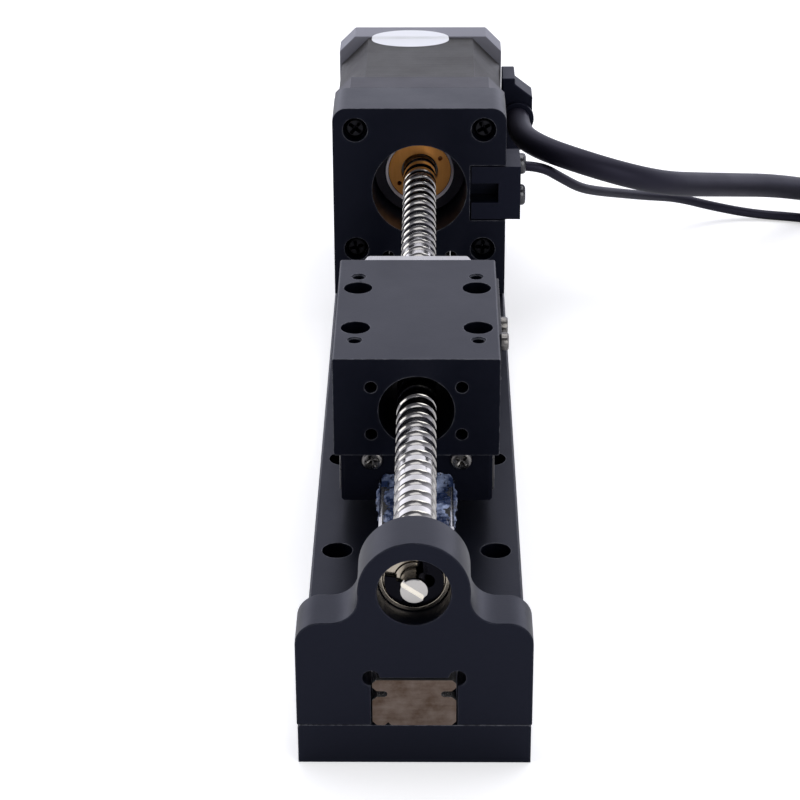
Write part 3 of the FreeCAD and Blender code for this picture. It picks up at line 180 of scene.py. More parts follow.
def shade_world():
    """A world whose strength is a share for the depth times a share for the height."""
    world = bpy.data.worlds.new("studio")
    bpy.context.scene.world = world
    world.use_nodes = True
    tree = world.node_tree
    tree.nodes.clear()
    place = add_node(tree, "ShaderNodeTexCoord")
    axes = add_node(tree, "ShaderNodeSeparateXYZ", {"Vector": place.outputs["Generated"]})
    depth = rescale(tree, axes.outputs["Y"], (-0.55, 0.45), (0.15, 1.0), interpolation_type="SMOOTHSTEP")
    height = rescale(tree, axes.outputs["Z"], (0.2, 0.65), (1.75, 0.68))
    path = add_node(tree, "ShaderNodeLightPath")
    studio = add_node(tree, "ShaderNodeBackground", {
        "Color": STUDIO_TINT, "Strength": reckon(tree, "MULTIPLY", depth, height)})
    white = add_node(tree, "ShaderNodeBackground", {"Strength": 1.0})
    mix = add_node(tree, "ShaderNodeMixShader", {
        "Fac": path.outputs["Is Camera Ray"], 1: studio.outputs["Background"],
        2: white.outputs["Background"]})
    add_node(tree, "ShaderNodeOutputWorld", {"Surface": mix.outputs["Shader"]})


def add_lamp(name, place, target, size, power):
    """A square soft lamp at place that faces target; both are in metres."""
    data = bpy.data.lights.new(name, "AREA")
    data.size = size
    data.energy = power
    lamp = add_object(name, data)
    lamp.location = place
    lamp.rotation_euler = (Vector(target) - Vector(place)).to_track_quat("-Z", "Y").to_euler()


def lay_floor():
    """A pale floor. To the camera it also glows a little, so that it reads as white around a soft shadow."""
    half = FLOOR_SIZE / 2
    mesh = bpy.data.meshes.new("floor")
    corners = [(-half, -half, 0), (half, -half, 0), (half, half, 0), (-half, half, 0)]
    mesh.from_pydata(corners, [], [(0, 1, 2, 3)])
    material, tree, shader = new_material("floor_white")
    path = add_node(tree, "ShaderNodeLightPath")
    fill(tree, shader, {
        "Base Color": (0.86, 0.86, 0.86, 1), "Roughness": 0.9, "Specular IOR Level": 0,
        "Emission Color": (1, 1, 1, 1),
        "Emission Strength": reckon(tree, "MULTIPLY", path.outputs["Is Camera Ray"], FLOOR_GLOW)})
    mesh.materials.append(material)
    floor = add_object("floor", mesh)


shade_world()
add_lamp("top_soft_box", (0.1, 0.35, 0.9), (0, 0, 0.03), 0.8, 3.5)
add_lamp("left_soft_box", (-0.7, -0.2, 0.55), (0, 0, 0.03), 0.5, 2)
add_lamp("right_soft_box", (0.55, -0.8, 0.45), (0, -0.03, 0.03), 0.75, 4)
lay_floor()
bpy.context.scene.view_settings.view_transform = "Standard"
print("lamps:", ", ".join(lamp.name for lamp in bpy.data.lights))

# %% [markdown]
# ## Effects that many finishes share
#
# Hardly any real surface is even. Four effects are each built once as a node group with named inputs, and
# every material places them with its own values: a slow mottle that varies roughness or colour, a fine grain
# as from bead blasting, streaks as from a grinding wheel or a brush, and a mask of edges, whose paler colour
# is partly rubbing and partly a painted highlight.

# %% Four shared node groups


def new_group(name, inputs, outputs):
    """An empty shader node group. Inputs are (name, kind, value); outputs are (name, kind)."""
    group = bpy.data.node_groups.new(name, "ShaderNodeTree")
    for label, kind, value in inputs:
        socket = group.interface.new_socket(label, in_out="INPUT", socket_type="NodeSocket" + kind)
        socket.default_value = value
    for label, kind in outputs:
        group.interface.new_socket(label, in_out="OUTPUT", socket_type="NodeSocket" + kind)
    return group, group.nodes.new("NodeGroupInput"), group.nodes.new("NodeGroupOutput")


def object_place(tree):
    return add_node(tree, "ShaderNodeTexCoord").outputs["Object"]


def make_mottle():
    """Slow noise on the piece, spread between two values."""
    group, given, result = new_group(
        "mottle", [("Scale", "Float", 60), ("Low", "Float", 0), ("High", "Float", 1)], [("Value", "Float")])
    noise = add_node(group, "ShaderNodeTexNoise", {
        "Vector": object_place(group), "Scale": given.outputs["Scale"], "Detail": 4, "Roughness": 0.6})
    wanted = (given.outputs["Low"], given.outputs["High"])
    fill(group, result, {"Value": rescale(group, noise.outputs["Fac"], (0.3, 0.7), wanted)})
    return group


def make_grain():
    """A fine even roughness as a bumped normal, such as bead blasting or moulded plastic leaves."""
    group, given, result = new_group(
        "grain", [("Scale", "Float", 3000), ("Depth", "Float", 0.2)], [("Normal", "Vector")])
    noise = add_node(group, "ShaderNodeTexNoise", {
        "Vector": object_place(group), "Scale": given.outputs["Scale"], "Detail": 2, "Roughness": 0.5})
    bump = add_node(group, "ShaderNodeBump", {
        "Strength": given.outputs["Depth"], "Distance": 0.00004, "Height": noise.outputs["Fac"]})
    fill(group, result, {"Normal": bump.outputs["Normal"]})
    return group


def make_streaks():
    """Noise stretched along one axis. Stretch is a vector of scales; the smallest is the streaks' way."""
    group, given, result = new_group(
        "streaks", [("Stretch", "Vector", (400, 20, 400)), ("Depth", "Float", 0.2)],
        [("Normal", "Vector"), ("Value", "Float")])
    place = add_node(group, "ShaderNodeVectorMath", {0: object_place(group), 1: given.outputs["Stretch"]},
                     operation="MULTIPLY")
    noise = add_node(group, "ShaderNodeTexNoise", {
        "Vector": place.outputs["Vector"], "Scale": 1, "Detail": 5, "Roughness": 0.65})
    bump = add_node(group, "ShaderNodeBump", {
        "Strength": given.outputs["Depth"], "Distance": 0.00003, "Height": noise.outputs["Fac"]})
    fill(group, result, {"Normal": bump.outputs["Normal"], "Value": noise.outputs["Fac"]})
    return group


def make_rubbed_edges_and_painted_highlight():
    """White along edges, partly for rubbed edges and partly as a painted highlight: there a normal that is
    rounded over a radius turns away from the true one.
    """
    group, given, result = new_group(
        "rubbed_edges_and_painted_highlight", [("Radius", "Float", 0.0003), ("Amount", "Float", 1)], [("Mask", "Float")])
    rounded = add_node(group, "ShaderNodeBevel", {"Radius": given.outputs["Radius"]}, samples=6)
    true = add_node(group, "ShaderNodeNewGeometry")
    agree = add_node(group, "ShaderNodeVectorMath", {0: rounded.outputs["Normal"], 1: true.outputs["Normal"]},
                     operation="DOT_PRODUCT")
    edge = rescale(group, agree.outputs["Value"], (0.99, 0.8), (0, 1))
    noise = add_node(group, "ShaderNodeTexNoise", {"Vector": object_place(group), "Scale": 700, "Detail": 3})
    broken = rescale(group, noise.outputs["Fac"], (0.35, 0.6), (0.25, 1))
    both = reckon(group, "MULTIPLY", edge, broken)
    fill(group, result, {"Mask": reckon(group, "MULTIPLY", both, given.outputs["Amount"])})
    return group


GROUPS = {"mottle": make_mottle(), "grain": make_grain(), "streaks": make_streaks(),
          "rubbed_edges_and_painted_highlight": make_rubbed_edges_and_painted_highlight()}


def place_group(tree, name, inputs):
    """Puts one of the shared groups into a material, with the material's own values."""
    return add_node(tree, "ShaderNodeGroup", inputs, node_tree=GROUPS[name])


print("groups:", ", ".join(GROUPS))

# %% [markdown]
# ## Black anodised aluminium
#
# The base plate, the blocks and the carriage are milled aluminium that was blasted and anodised black. The
# oxide is a dyed, clear layer: nearly black, satin, and with a weak bluish shine of its own. Along the edges
# the colour is paler, partly as dye rubbed thin and partly as a painted highlight, so they show a fine pale
# line. Paint, plastic and rubber are the same recipe with other values.

# %% Materials for aluminium, paint and plastic


def mixed_colour(tree, mask, base, other):
    """Base colour where the mask is 0 and the other where it is 1; both are colours or nodes' outputs."""
    ends = [colour if isinstance(colour, bpy.types.NodeSocket) else (*colour, 1) for colour in (base, other)]
    mix = add_node(tree, "ShaderNodeMix", {"Factor": mask, "A": ends[0], "B": ends[1]}, data_type="RGBA")
    return mix.outputs["Result"]


def satin_finish(name, base, rubbed_and_highlight_colour, rough, ior, grain_scale, grain_depth, rub_and_highlight_amount, sheen=(1, 1, 1)):
    """A satin surface: mottled roughness, a fine grain, edges paler partly from rubbing and partly as a
    painted highlight, and a shine of its own colour.
    """
    material, tree, shader = new_material(name)
    # Paler edges: partly rubbed, partly a painted highlight in place of light on the rounded edges.
    edges = place_group(tree, "rubbed_edges_and_painted_highlight", {"Radius": 0.00035, "Amount": rub_and_highlight_amount})
    mottle = place_group(tree, "mottle", {"Scale": 90, "Low": rough - 0.035, "High": rough + 0.035})
    grain = place_group(tree, "grain", {"Scale": grain_scale, "Depth": grain_depth})
    fill(tree, shader, {
        "Base Color": mixed_colour(tree, edges.outputs["Mask"], base, rubbed_and_highlight_colour),
        "Roughness": mottle.outputs["Value"], "Normal": grain.outputs["Normal"], "IOR": ior,
        "Specular Tint": (*sheen, 1)})
    return material


# The anodised edge colour is far paler than its base: a painted edge highlight besides rubbed dye.
ANODISED = satin_finish(
    "black_anodised", (0.0008, 0.0014, 0.0042), (0.2, 0.205, 0.225), 0.37, 1.35, 2600, 0.35, 1,
    (0.66, 0.7, 1))
MOTOR_PAINT = satin_finish(
    "black_motor_paint", (0.016, 0.014, 0.018), (0.1, 0.1, 0.11), 0.42, 1.38, 1800, 0.3, 0.5, (0.8, 0.8, 1))
# The rear cap gets a lighter, bluish grey than the front cap's paint.
REAR_CAP_GREY = satin_finish("grey_rear_cap", (0.17, 0.17, 0.2), (0.3, 0.3, 0.33), 0.45, 1.42, 1800, 0.4, 0.6)
MOULDED = satin_finish(
    "black_moulded_plastic", (0.001, 0.0015, 0.0042), (0.03, 0.031, 0.038), 0.5, 1.38, 1500, 0.4, 0.5,
    (0.6, 0.64, 1))
RUBBER = satin_finish(
    "black_seal_rubber", (0.0008, 0.001, 0.003), (0.006, 0.006, 0.007), 0.6, 1.3, 1200, 0.5, 0.1,
    (0.6, 0.66, 1))
IVORY = satin_finish("ivory_nylon", (0.62, 0.59, 0.5), (0.7, 0.68, 0.6), 0.45, 1.5, 1500, 0.2, 0.3)
print("materials so far:", len(bpy.data.materials))

# %% [markdown]
# ## Steel, from polished to blackened
#
# The screw is polished on its lands, and its groove is painted darker as shade. The rail is ground along
# its length, and its sawn end is matt and a little brown. The spring clip and most small screws are steel
# with a thin black oxide. They all are metals, so what changes is the colour, the roughness and the
# direction of the marks that the tool left.

# %% Materials for metals
AXIS_Z = 35.5


def metal_finish(name, base, rough, spread, stretch, depth, tint=None):
    """Bare metal with streaks: they vary the roughness by spread, and tint the colour where one is given."""
    material, tree, shader = new_material(name)
    streaks = place_group(tree, "streaks", {"Stretch": stretch, "Depth": depth})
    roughness = rescale(tree, streaks.outputs["Value"], (0.3, 0.7), (rough - spread, rough + spread))
    colour = mixed_colour(tree, streaks.outputs["Value"], base, tint or tuple(0.8 * v for v in base))
    fill(tree, shader, {"Base Color": colour, "Metallic": 1.0, "Roughness": roughness,
                        "Normal": streaks.outputs["Normal"]})
    return material


def thread_finish():
    """Polished steel on the lands and the journal, and a groove painted darker as shade, told apart by the
    radius.
    """
    journal_reach, groove_reach, land_reach = 0.0033, 0.0036, 0.00396
    material, tree, shader = new_material("thread_steel")
    shifted = add_node(tree, "ShaderNodeVectorMath", {0: object_place(tree), 1: (0, 0, -AXIS_Z * MM)},
                       operation="ADD")
    flat = add_node(tree, "ShaderNodeVectorMath", {0: shifted.outputs["Vector"], 1: (1, 0, 1)},
                    operation="MULTIPLY")
    length = add_node(tree, "ShaderNodeVectorMath", {0: flat.outputs["Vector"]}, operation="LENGTH")
    radius = length.outputs["Value"]
    land = rescale(tree, radius, (groove_reach, land_reach), (0, 1))
    land_or_journal = reckon(tree, "MAXIMUM", land, reckon(tree, "LESS_THAN", radius, journal_reach))
    # The groove's dark colour is painted shade, for the dark walls of the groove.
    colour = mixed_colour(tree, land_or_journal, (0.27, 0.26, 0.25), (0.6, 0.58, 0.545))
    streaks = place_group(tree, "streaks", {"Stretch": (300, 60, 300), "Depth": 0.12})
    mottle = place_group(tree, "mottle", {"Scale": 400, "Low": 0.09, "High": 0.2})
    fill(tree, shader, {"Base Color": colour, "Metallic": 1.0, "Roughness": mottle.outputs["Value"],
                        "Normal": streaks.outputs["Normal"]})
    return material


def rail_finish():
    """Ground steel along the rail, and a matt, brownish sawn face at its ends, told apart by the normal."""
    material, tree, shader = new_material("rail_steel")
    normal = add_node(tree, "ShaderNodeNewGeometry").outputs["Normal"]
    axes = add_node(tree, "ShaderNodeSeparateXYZ", {"Vector": normal})
    end = reckon(tree, "GREATER_THAN", reckon(tree, "ABSOLUTE", axes.outputs["Y"]), 0.7)
    ground = place_group(tree, "streaks", {"Stretch": (900, 15, 900), "Depth": 0.25})
    sawn = place_group(tree, "streaks", {"Stretch": (90, 300, 700), "Depth": 0.6})
    ground_colour = mixed_colour(tree, ground.outputs["Value"], (0.62, 0.61, 0.6), (0.5, 0.49, 0.48))
    patches = place_group(tree, "mottle", {"Scale": 280, "Low": -0.35, "High": 0.35})
    uneven = reckon(tree, "ADD", sawn.outputs["Value"], patches.outputs["Value"], use_clamp=True)
    sawn_colour = mixed_colour(tree, uneven, (0.075, 0.042, 0.024), (0.24, 0.19, 0.16))
    fill(tree, shader, {
        "Base Color": mixed_colour(tree, end, ground_colour, sawn_colour), "Metallic": 0.9,
        "Roughness": rescale(tree, end, (0, 1), (0.24, 0.5)), "Normal": sawn.outputs["Normal"]})
    return material


RAIL = rail_finish()
THREAD = thread_finish()
GUIDE_STEEL = metal_finish("guide_steel", (0.5, 0.49, 0.48), 0.3, 0.06, (700, 20, 700), 0.2)
BEARING = metal_finish("bearing_steel", (0.6, 0.53, 0.42), 0.2, 0.05, (200, 900, 200), 0.1)
BLACKENED = metal_finish("blackened_steel", (0.03, 0.03, 0.034), 0.32, 0.06, (500, 500, 500), 0.2)
CLIP_BLACK = metal_finish("clip_black", (0.008, 0.008, 0.011), 0.16, 0.04, (500, 500, 500), 0.1)
ZINC_BLACK = metal_finish("small_screw_metal", (0.22, 0.21, 0.2), 0.28, 0.06, (500, 500, 500), 0.2)
SENSOR_SCREW = metal_finish("sensor_screw_metal", (0.11, 0.11, 0.115), 0.26, 0.06, (500, 500, 500), 0.2)
COPPERED = metal_finish(
    "coppered_nut", (0.9, 0.42, 0.12), 0.38, 0.06, (900, 900, 120), 0.2, (0.62, 0.26, 0.065))
WIRE_COPPER = metal_finish("winding_copper", (0.6, 0.27, 0.12), 0.35, 0.05, (900, 60, 900), 0.4)
CORE_IRON = metal_finish("core_iron", (0.16, 0.16, 0.165), 0.42, 0.06, (60, 2500, 60), 0.5)


def stack_finish():
    """Blackened laminations: thin sheets of iron that show as fine lines across the motor."""
    sheet = 0.0005
    material, tree, shader = new_material("motor_stack")
    axes = add_node(tree, "ShaderNodeSeparateXYZ", {"Vector": object_place(tree)})
    wave = reckon(tree, "SINE", reckon(tree, "MULTIPLY", axes.outputs["Y"], 2 * math.pi / sheet))
    bump = add_node(tree, "ShaderNodeBump", {"Strength": 0.5, "Distance": 0.00004, "Height": wave})
    streaks = place_group(tree, "streaks", {"Stretch": (60, 2200, 60), "Depth": 0.3})
    colour = mixed_colour(tree, streaks.outputs["Value"], (0.006, 0.0058, 0.006), (0.05, 0.046, 0.042))
    mottle = place_group(tree, "mottle", {"Scale": 70, "Low": 0.42, "High": 0.56})
    fill(tree, shader, {"Base Color": colour, "Metallic": 0.35, "Roughness": mottle.outputs["Value"],
                        "Normal": bump.outputs["Normal"]})
    return material


STACK = stack_finish()
print("materials so far:", len(bpy.data.materials))

# %% [markdown]
# ## Dressing the solids
#
# The solids arrive as loose triangles with sharp edges. Four modifiers, which leave the solid itself alone,
# turn them into what a modeller would have drawn. A Weld joins the triangles, a Decimate merges those of one
# plane into one face, a small Bevel gives each edge the fine rounding that any real part has, and weighted
# normals keep the flat faces flat beside it.

# %% Give every solid its finish
FINISHES = {
    ANODISED: ("base_plate", "front_block", "motor_bracket", "carriage_housing"),
    RAIL: ("guide_rail",),
    GUIDE_STEEL: ("guide_block", "ball_nut", "rotor_sleeve"),
    BLACKENED: ("sensor_flag",),
    BEARING: ("front_bearing_outer_ring", "front_bearing_inner_ring", "front_bearing_balls",
              "front_bearing_front_shield", "front_bearing_rear_shield",
              "motor_front_bearing_outer_ring", "motor_front_bearing_inner_ring",
              "motor_rear_bearing_outer_ring", "motor_rear_bearing_inner_ring"),
    COPPERED: ("motor_ring_nut",),
    MOTOR_PAINT: ("motor_front_cap",),
    REAR_CAP_GREY: ("motor_rear_cap",),
    STACK: ("motor_stator",),
    WIRE_COPPER: ("motor_windings",),
    CORE_IRON: ("rotor_front_core", "rotor_rear_core", "rotor_magnet"),
    MOULDED: ("cable_outlet", "cable_gland", "sensor_body", "guide_front_cap", "guide_rear_cap"),
    RUBBER: ("guide_front_seal", "guide_rear_seal", "nut_front_wiper", "nut_rear_wiper", "sensor_cable_boot"),
}
EDGE_WIDTHS = {"base_plate": 0.15, "front_block": 0.2, "motor_bracket": 0.2, "carriage_housing": 0.2,
               "motor_front_cap": 0.2, "motor_rear_cap": 0.2, "motor_stator": 0.1, "sensor_body": 0.15,
               "cable_outlet": 0.3, "motor_cable_plug": 0.7, "guide_block": 0.15,
               "front_bearing_outer_ring": 0.25, "guide_front_cap": 0.2, "guide_rear_cap": 0.2}
SMALL_EDGE = 0.08


def dress(name, material):
    """One finish for the whole node, smooth shading, and a bevel of the node's own or the usual width."""
    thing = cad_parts[name]
    thing.data.materials.clear()
    thing.data.materials.append(material)
    weld = thing.modifiers.new("weld", "WELD")
    weld.merge_threshold = 1e-6
    flat = thing.modifiers.new("flat_faces", "DECIMATE")
    flat.decimate_type = "DISSOLVE"
    flat.angle_limit = math.radians(0.5)
    bevel = thing.modifiers.new("edges", "BEVEL")
    bevel.width = EDGE_WIDTHS.get(name, SMALL_EDGE) * MM
    bevel.segments = 2
    bevel.limit_method = "ANGLE"
    bevel.angle_limit = math.radians(40)
    bevel.harden_normals = True
    bevel.use_clamp_overlap = True
    normals = thing.modifiers.new("normals", "WEIGHTED_NORMAL")
    normals.mode = "FACE_AREA"
    normals.weight = 100
    normals.keep_sharp = True
    thing.data.shade_smooth()


for finish, names in FINISHES.items():
    for name in names:
        dress(name, finish)
print("dressed:", sum(len(names) for names in FINISHES.values()), "nodes")

# %% [markdown]
# ## From formula to mesh
#
# Every new surface here is worked out as whole arrays. Most are grids: rows of points along a shape and
# columns round it. One helper joins the points of such a grid into quads, and another puts them into Blender,
# merges the points that fall together at seams and poles, and turns all faces outwards.

# %% Helpers that turn grids of points into pieces


def grid_faces(rows, columns, ring=True):
    """Quads between neighbouring points of a grid; with ring, the last column joins the first."""
    row, column = np.meshgrid(np.arange(rows - 1), np.arange(columns if ring else columns - 1), indexing="ij")
    after = (column + 1) % columns
    corners = [row * columns + column, row * columns + after,
               (row + 1) * columns + after, (row + 1) * columns + column]
    return np.stack(corners, -1).reshape(-1, 4)


def join_shells(shells):
    """Several (points, faces) as one."""
    points = np.concatenate([shell[0] for shell in shells])
    starts = np.cumsum([0] + [len(shell[0]) for shell in shells[:-1]])
    faces = [face + start for (_, group), start in zip(shells, starts) for face in group]
    return points, faces


def add_piece(name, points, faces, material, body, smooth=40):
    """Makes a mesh from points in millimetres, closes its seams, and lets it ride on a body."""
    mesh = bpy.data.meshes.new(name)
    mesh.from_pydata((np.asarray(points) * MM).tolist(), [], [list(face) for face in faces])
    work = bmesh.new()
    work.from_mesh(mesh)
    bmesh.ops.remove_doubles(work, verts=work.verts, dist=2e-6)
    bmesh.ops.dissolve_degenerate(work, dist=1e-6, edges=work.edges)
    edges = [edge for edge in work.edges if edge.is_boundary]
    if edges:
        bmesh.ops.holes_fill(work, edges=edges, sides=0)
    bmesh.ops.recalc_face_normals(work, faces=work.faces)
    work.to_mesh(mesh)
    work.free()
    mesh.materials.append(material)
    mesh.shade_smooth()
    mesh.set_sharp_from_angle(angle=math.radians(smooth))
    piece = add_object(name, mesh)
    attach(piece, body)
    print(f"{name}: {len(mesh.polygons)} faces, {sum(edge.is_loose for edge in mesh.edges)} loose edges")
    return piece


# %% [markdown]
# ## The rolled thread
#
# A ball screw's thread is not a sharp V but a round groove that winds round the shaft, one turn every 4 mm,
# with flat lands between. The mesh follows the thread: its rows run along the helix, so the groove's edges
# stay crisp with few faces. The front journal with its clip groove, and the end with the screwdriver slot,
# are turned shapes of their own.

# %% The screw
LEAD = 4.0
SCREW_RADIUS = 4.0
GROOVE_HALF = 1.08
GROOVE_CURVE = 1.3
THREAD_START = -93.4
THREAD_END = 148.8
SHAFT_FRONT = -102.4
JOURNAL_RADIUS = 2.5
SHOULDER_RADIUS = 3.2
CLIP_FRONT = -99.1
SLOT_DEEP = 0.9


def thread_surface():
    """Points of the threaded part.

    The place along the axis is lead * (turns + f), where turns counts the angle gone round and f runs across
    one pitch. The radius is the shaft's, less a circular arc across the groove. Both ends are cut square, and
    a short cone starts the thread at the front.
    """
    half = np.array([0, 0.07, 0.14, 0.19, 0.23, 0.256, 0.269, 0.282, 0.33, 0.43, 0.5])
    across = np.concatenate([-half[:0:-1], half]) * LEAD
    edge = math.sqrt(GROOVE_CURVE ** 2 - GROOVE_HALF ** 2)
    drop = np.sqrt(np.maximum(GROOVE_CURVE ** 2 - across ** 2, 0)) - edge
    drop = np.where(np.abs(across) < GROOVE_HALF, np.maximum(drop, 0), 0)
    steps = 40
    count = int((THREAD_END - THREAD_START) / LEAD + 3) * steps
    turn = np.arange(count + 1) / steps - 1
    y = THREAD_START + LEAD * turn[:, None] + across[None, :]
    radius = np.broadcast_to(SCREW_RADIUS - drop[None, :], y.shape)
    cut = np.clip(y, THREAD_START, THREAD_END)
    radius = np.minimum(radius, SHOULDER_RADIUS + (cut - THREAD_START) * 4 / 3)
    angle = 2 * np.pi * turn[:, None] + np.zeros_like(y)
    points = np.stack([radius * np.sin(angle), cut, AXIS_Z + radius * np.cos(angle)], -1)
    return points.reshape(-1, 3), grid_faces(len(turn), len(across), ring=False)


def lathe(profile, count=48):
    """Points of a shape turned about the screw's axis from rows of (place along the axis, radius)."""
    profile = np.asarray(profile, float)
    angle = np.linspace(0, 2 * np.pi, count, endpoint=False)
    x = profile[:, 1, None] * np.sin(angle)
    z = AXIS_Z + profile[:, 1, None] * np.cos(angle)
    y = np.repeat(profile[:, :1], count, axis=1)
    return np.stack([x, y, z], -1).reshape(-1, 3), grid_faces(len(profile), count)


def slot_half(side):
    """One of the two raised halves beside the screwdriver slot: a D shape in four layers, with an edge."""
    half_slot, radius, turn = 0.52, JOURNAL_RADIUS, math.radians(35)
    layers = ((SLOT_DEEP, radius), (0.3, radius), (0.09, radius - 0.09), (0, radius - 0.3))
    loops = []
    for y, reach in layers:
        end = math.acos(half_slot / reach)
        angle = np.linspace(-end, end, 25)
        across, along = side * reach * np.cos(angle), side * reach * np.sin(angle)
        x = across * math.sin(turn) + along * math.cos(turn)
        z = across * math.cos(turn) - along * math.sin(turn)
        loops.append(np.stack([x, np.full_like(x, SHAFT_FRONT + y), AXIS_Z + z], -1))
    points = np.concatenate(loops)
    faces = list(grid_faces(4, 25)) + [np.arange(25), np.arange(75, 100)]
    return points, faces


def make_screw():
    """The thread, the journal with the clip's groove, and the slotted end as one piece."""
    step, groove_floor, groove_end, shoulder, hidden_end = SHAFT_FRONT + SLOT_DEEP, 2.0, -98.4, -94.4, -92
    journal = lathe([
        (step, 0), (step, JOURNAL_RADIUS), (CLIP_FRONT, JOURNAL_RADIUS), (CLIP_FRONT, groove_floor),
        (groove_end, groove_floor), (groove_end, JOURNAL_RADIUS), (shoulder, JOURNAL_RADIUS),
        (shoulder, SHOULDER_RADIUS), (hidden_end, SHOULDER_RADIUS), (hidden_end, 0)])
    points, faces = join_shells([thread_surface(), journal, slot_half(1), slot_half(-1)])
    screw = add_piece("threaded_screw", points, faces, THREAD, "screw", 35)
    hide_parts("ball_screw")


make_screw()

# %% [markdown]
# ## The spring clip
#
# A clip snaps sideways into the journal's groove and keeps the bearing on it. It is stamped from spring
# steel: a disc with a round bore, a mouth that it was pushed on by, and two round reliefs that leave a tongue
# opposite the mouth. Its outline is walked once round: out along one side of the mouth, round the rim, and
# back along the bore, where each relief adds its own arc.

# %% The clip


def arc(radius, start, end, count, x=0.0, z=0.0):
    """Points on an arc from one angle in degrees to another."""
    angle = np.radians(np.linspace(start, end, count))
    return np.stack([x + radius * np.cos(angle), z + radius * np.sin(angle)], -1)


def clip_outline():
    """The rim from the mouth's right end round to its left end, and back along the bore and the reliefs."""
    mouth, half, rim, bore, relief, out = 122, 42, 5.3, 2.05, 1.25, 2.35
    parts = [arc(rim, mouth + half + 3, mouth - half - 3 + 360, 90)]
    inner = []
    reach = math.degrees(math.acos((bore ** 2 + out ** 2 - relief ** 2) / (2 * bore * out)))
    own = 180 - math.degrees(math.acos((relief ** 2 + out ** 2 - bore ** 2) / (2 * relief * out)))
    for middle in (mouth - 118, mouth + 118 - 360):
        x, z = out * math.cos(math.radians(middle)), out * math.sin(math.radians(middle))
        inner.append((middle, arc(relief, middle + own, middle - own, 24, x, z)))
    first, second = inner
    parts += [arc(bore + 1.1, mouth - half, mouth - half - 12, 5)]
    parts += [arc(bore, mouth - half - 20, first[0] + reach, 12)]
    parts += [first[1], arc(bore, first[0] - reach, second[0] + reach, 24), second[1]]
    parts += [arc(bore, second[0] - reach, mouth + half + 20 - 360, 12)]
    parts += [arc(bore + 1.1, mouth + half + 12 - 360, mouth + half - 360, 5)]
    return np.concatenate(parts)


def make_clip():
    """The outline in layers that shrink towards the front, as stamping rounds that edge slightly."""
    flat = clip_outline()
    count = len(flat)
    ahead, behind = np.roll(flat, -1, 0), np.roll(flat, 1, 0)
    along = (ahead - behind) / np.linalg.norm(ahead - behind, axis=1)[:, None]
    inward = np.stack([-along[:, 1], along[:, 0]], -1) * 0.08
    layers = [(CLIP_FRONT, inward), (-99.03, 0.25 * inward), (-98.98, 0 * inward), (-98.5, 0 * inward)]
    loops = [np.stack([(flat + shift)[:, 0], np.full(count, y), AXIS_Z + (flat + shift)[:, 1]], -1)
             for y, shift in layers]
    faces = list(grid_faces(len(layers), count))
    faces += [np.arange(count), np.arange(count) + (len(layers) - 1) * count]
    clip = add_piece("spring_clip", np.concatenate(loops), faces, CLIP_BLACK, "screw", 30)
    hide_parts("front_e_ring")


make_clip()

# %% [markdown]
# ## Small screws, one recipe
#
# All the small screws are closed rings stacked along an axis. Most rings are circles, and the drive is a ring
# of another shape: a hexagon for a socket, a cross for a screwdriver. Lowering a smaller copy of that ring
# makes the recess. The same function makes every size, and a list says where the heads sit.

# %% The small screws
RING_POINTS = 72
RING_ANGLE = np.linspace(0, 2 * np.pi, RING_POINTS, endpoint=False)


def hexagon(apothem):
    """Distance to a hexagon's side: the apothem over the cosine of the angle off the side's middle."""
    off = (RING_ANGLE + np.pi / 6) % (np.pi / 3) - np.pi / 6
    return apothem / np.cos(off)


def cross(length, half_width):
    """Distance to a cross's outline: an arm's length, or half its width over the sine of the angle off it."""
    off = (RING_ANGLE + np.pi / 4) % (np.pi / 2) - np.pi / 4
    return np.minimum(length, half_width / np.maximum(np.abs(np.sin(off)), 1e-3))


def screw_rings(head, high, thread, length, drive):
    """The rings of one screw from its tip to the middle of its recess, as (height, radius round the ring)."""
    flat = np.ones(RING_POINTS)
    rings = [(-length, 0 * flat), (-length, (thread / 2 - 0.3) * flat), (0.3 - length, thread / 2 * flat),
             (0, thread / 2 * flat)]
    radius = head / 2
    if drive == "socket":
        rim = radius * (1 + 0.018 * np.sign(np.sin(RING_ANGLE * 36)))
        recess = hexagon(0.23 * head)
        rings += [(0, radius * flat), (0.25, rim), (high - 0.35, rim), (high - 0.1, (radius - 0.12) * flat),
                  (high, (radius - 0.3) * flat), (high, recess + 0.12), (high - 0.12, recess),
                  (0.5 * high, recess), (0.42 * high, 0 * flat)]
    else:
        recess = cross(0.34 * head, 0.085 * head)
        rings += [(0, radius * flat), (0.45 * high, radius * flat), (0.7 * high, 0.96 * radius * flat),
                  (0.88 * high, 0.87 * radius * flat), (high, 0.72 * radius * flat), (high, recess + 0.04),
                  (high - 0.06, recess), (0.55 * high, 0.72 * recess), (0.2 * high, 0.3 * recess),
                  (0.15 * high, 0 * flat)]
    return rings


def face_ways(x, y, z):
    """How a screw's own place (x, y across its head, z along its axis) lies for each way that it can face."""
    return {"up": (x, y, z), "down": (x, -y, -z), "front": (x, -z, y), "rear": (-x, z, y),
            "right": (z, y, -x)}


def make_screws(name, material, body, sizes, drive, facing, seats):
    """One piece for all the screws of a node. sizes are head, head height, thread and length."""
    rings = screw_rings(*sizes, drive)
    heights = np.array([ring[0] for ring in rings])[:, None] + np.zeros(RING_POINTS)
    radii = np.array([ring[1] for ring in rings])
    shells = []
    for index, seat in enumerate(seats):
        turn = RING_ANGLE + (0.6 * index + 0.3)
        place = face_ways(radii * np.cos(turn), radii * np.sin(turn), heights)[facing]
        points = np.stack(place, -1).reshape(-1, 3) + np.array(seat)
        shells.append((points, grid_faces(len(rings), RING_POINTS)))
    points, faces = join_shells(shells)
    piece = add_piece(name + "_dressed", points, faces, material, body, 30)
    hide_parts(name)


def square(x, z, y, across_z):
    """Four seats in the plane of y, to both sides of the axis and above and below the height z."""
    return [(way_x * x, y, z + way_z * across_z) for way_x in (-1, 1) for way_z in (-1, 1)]


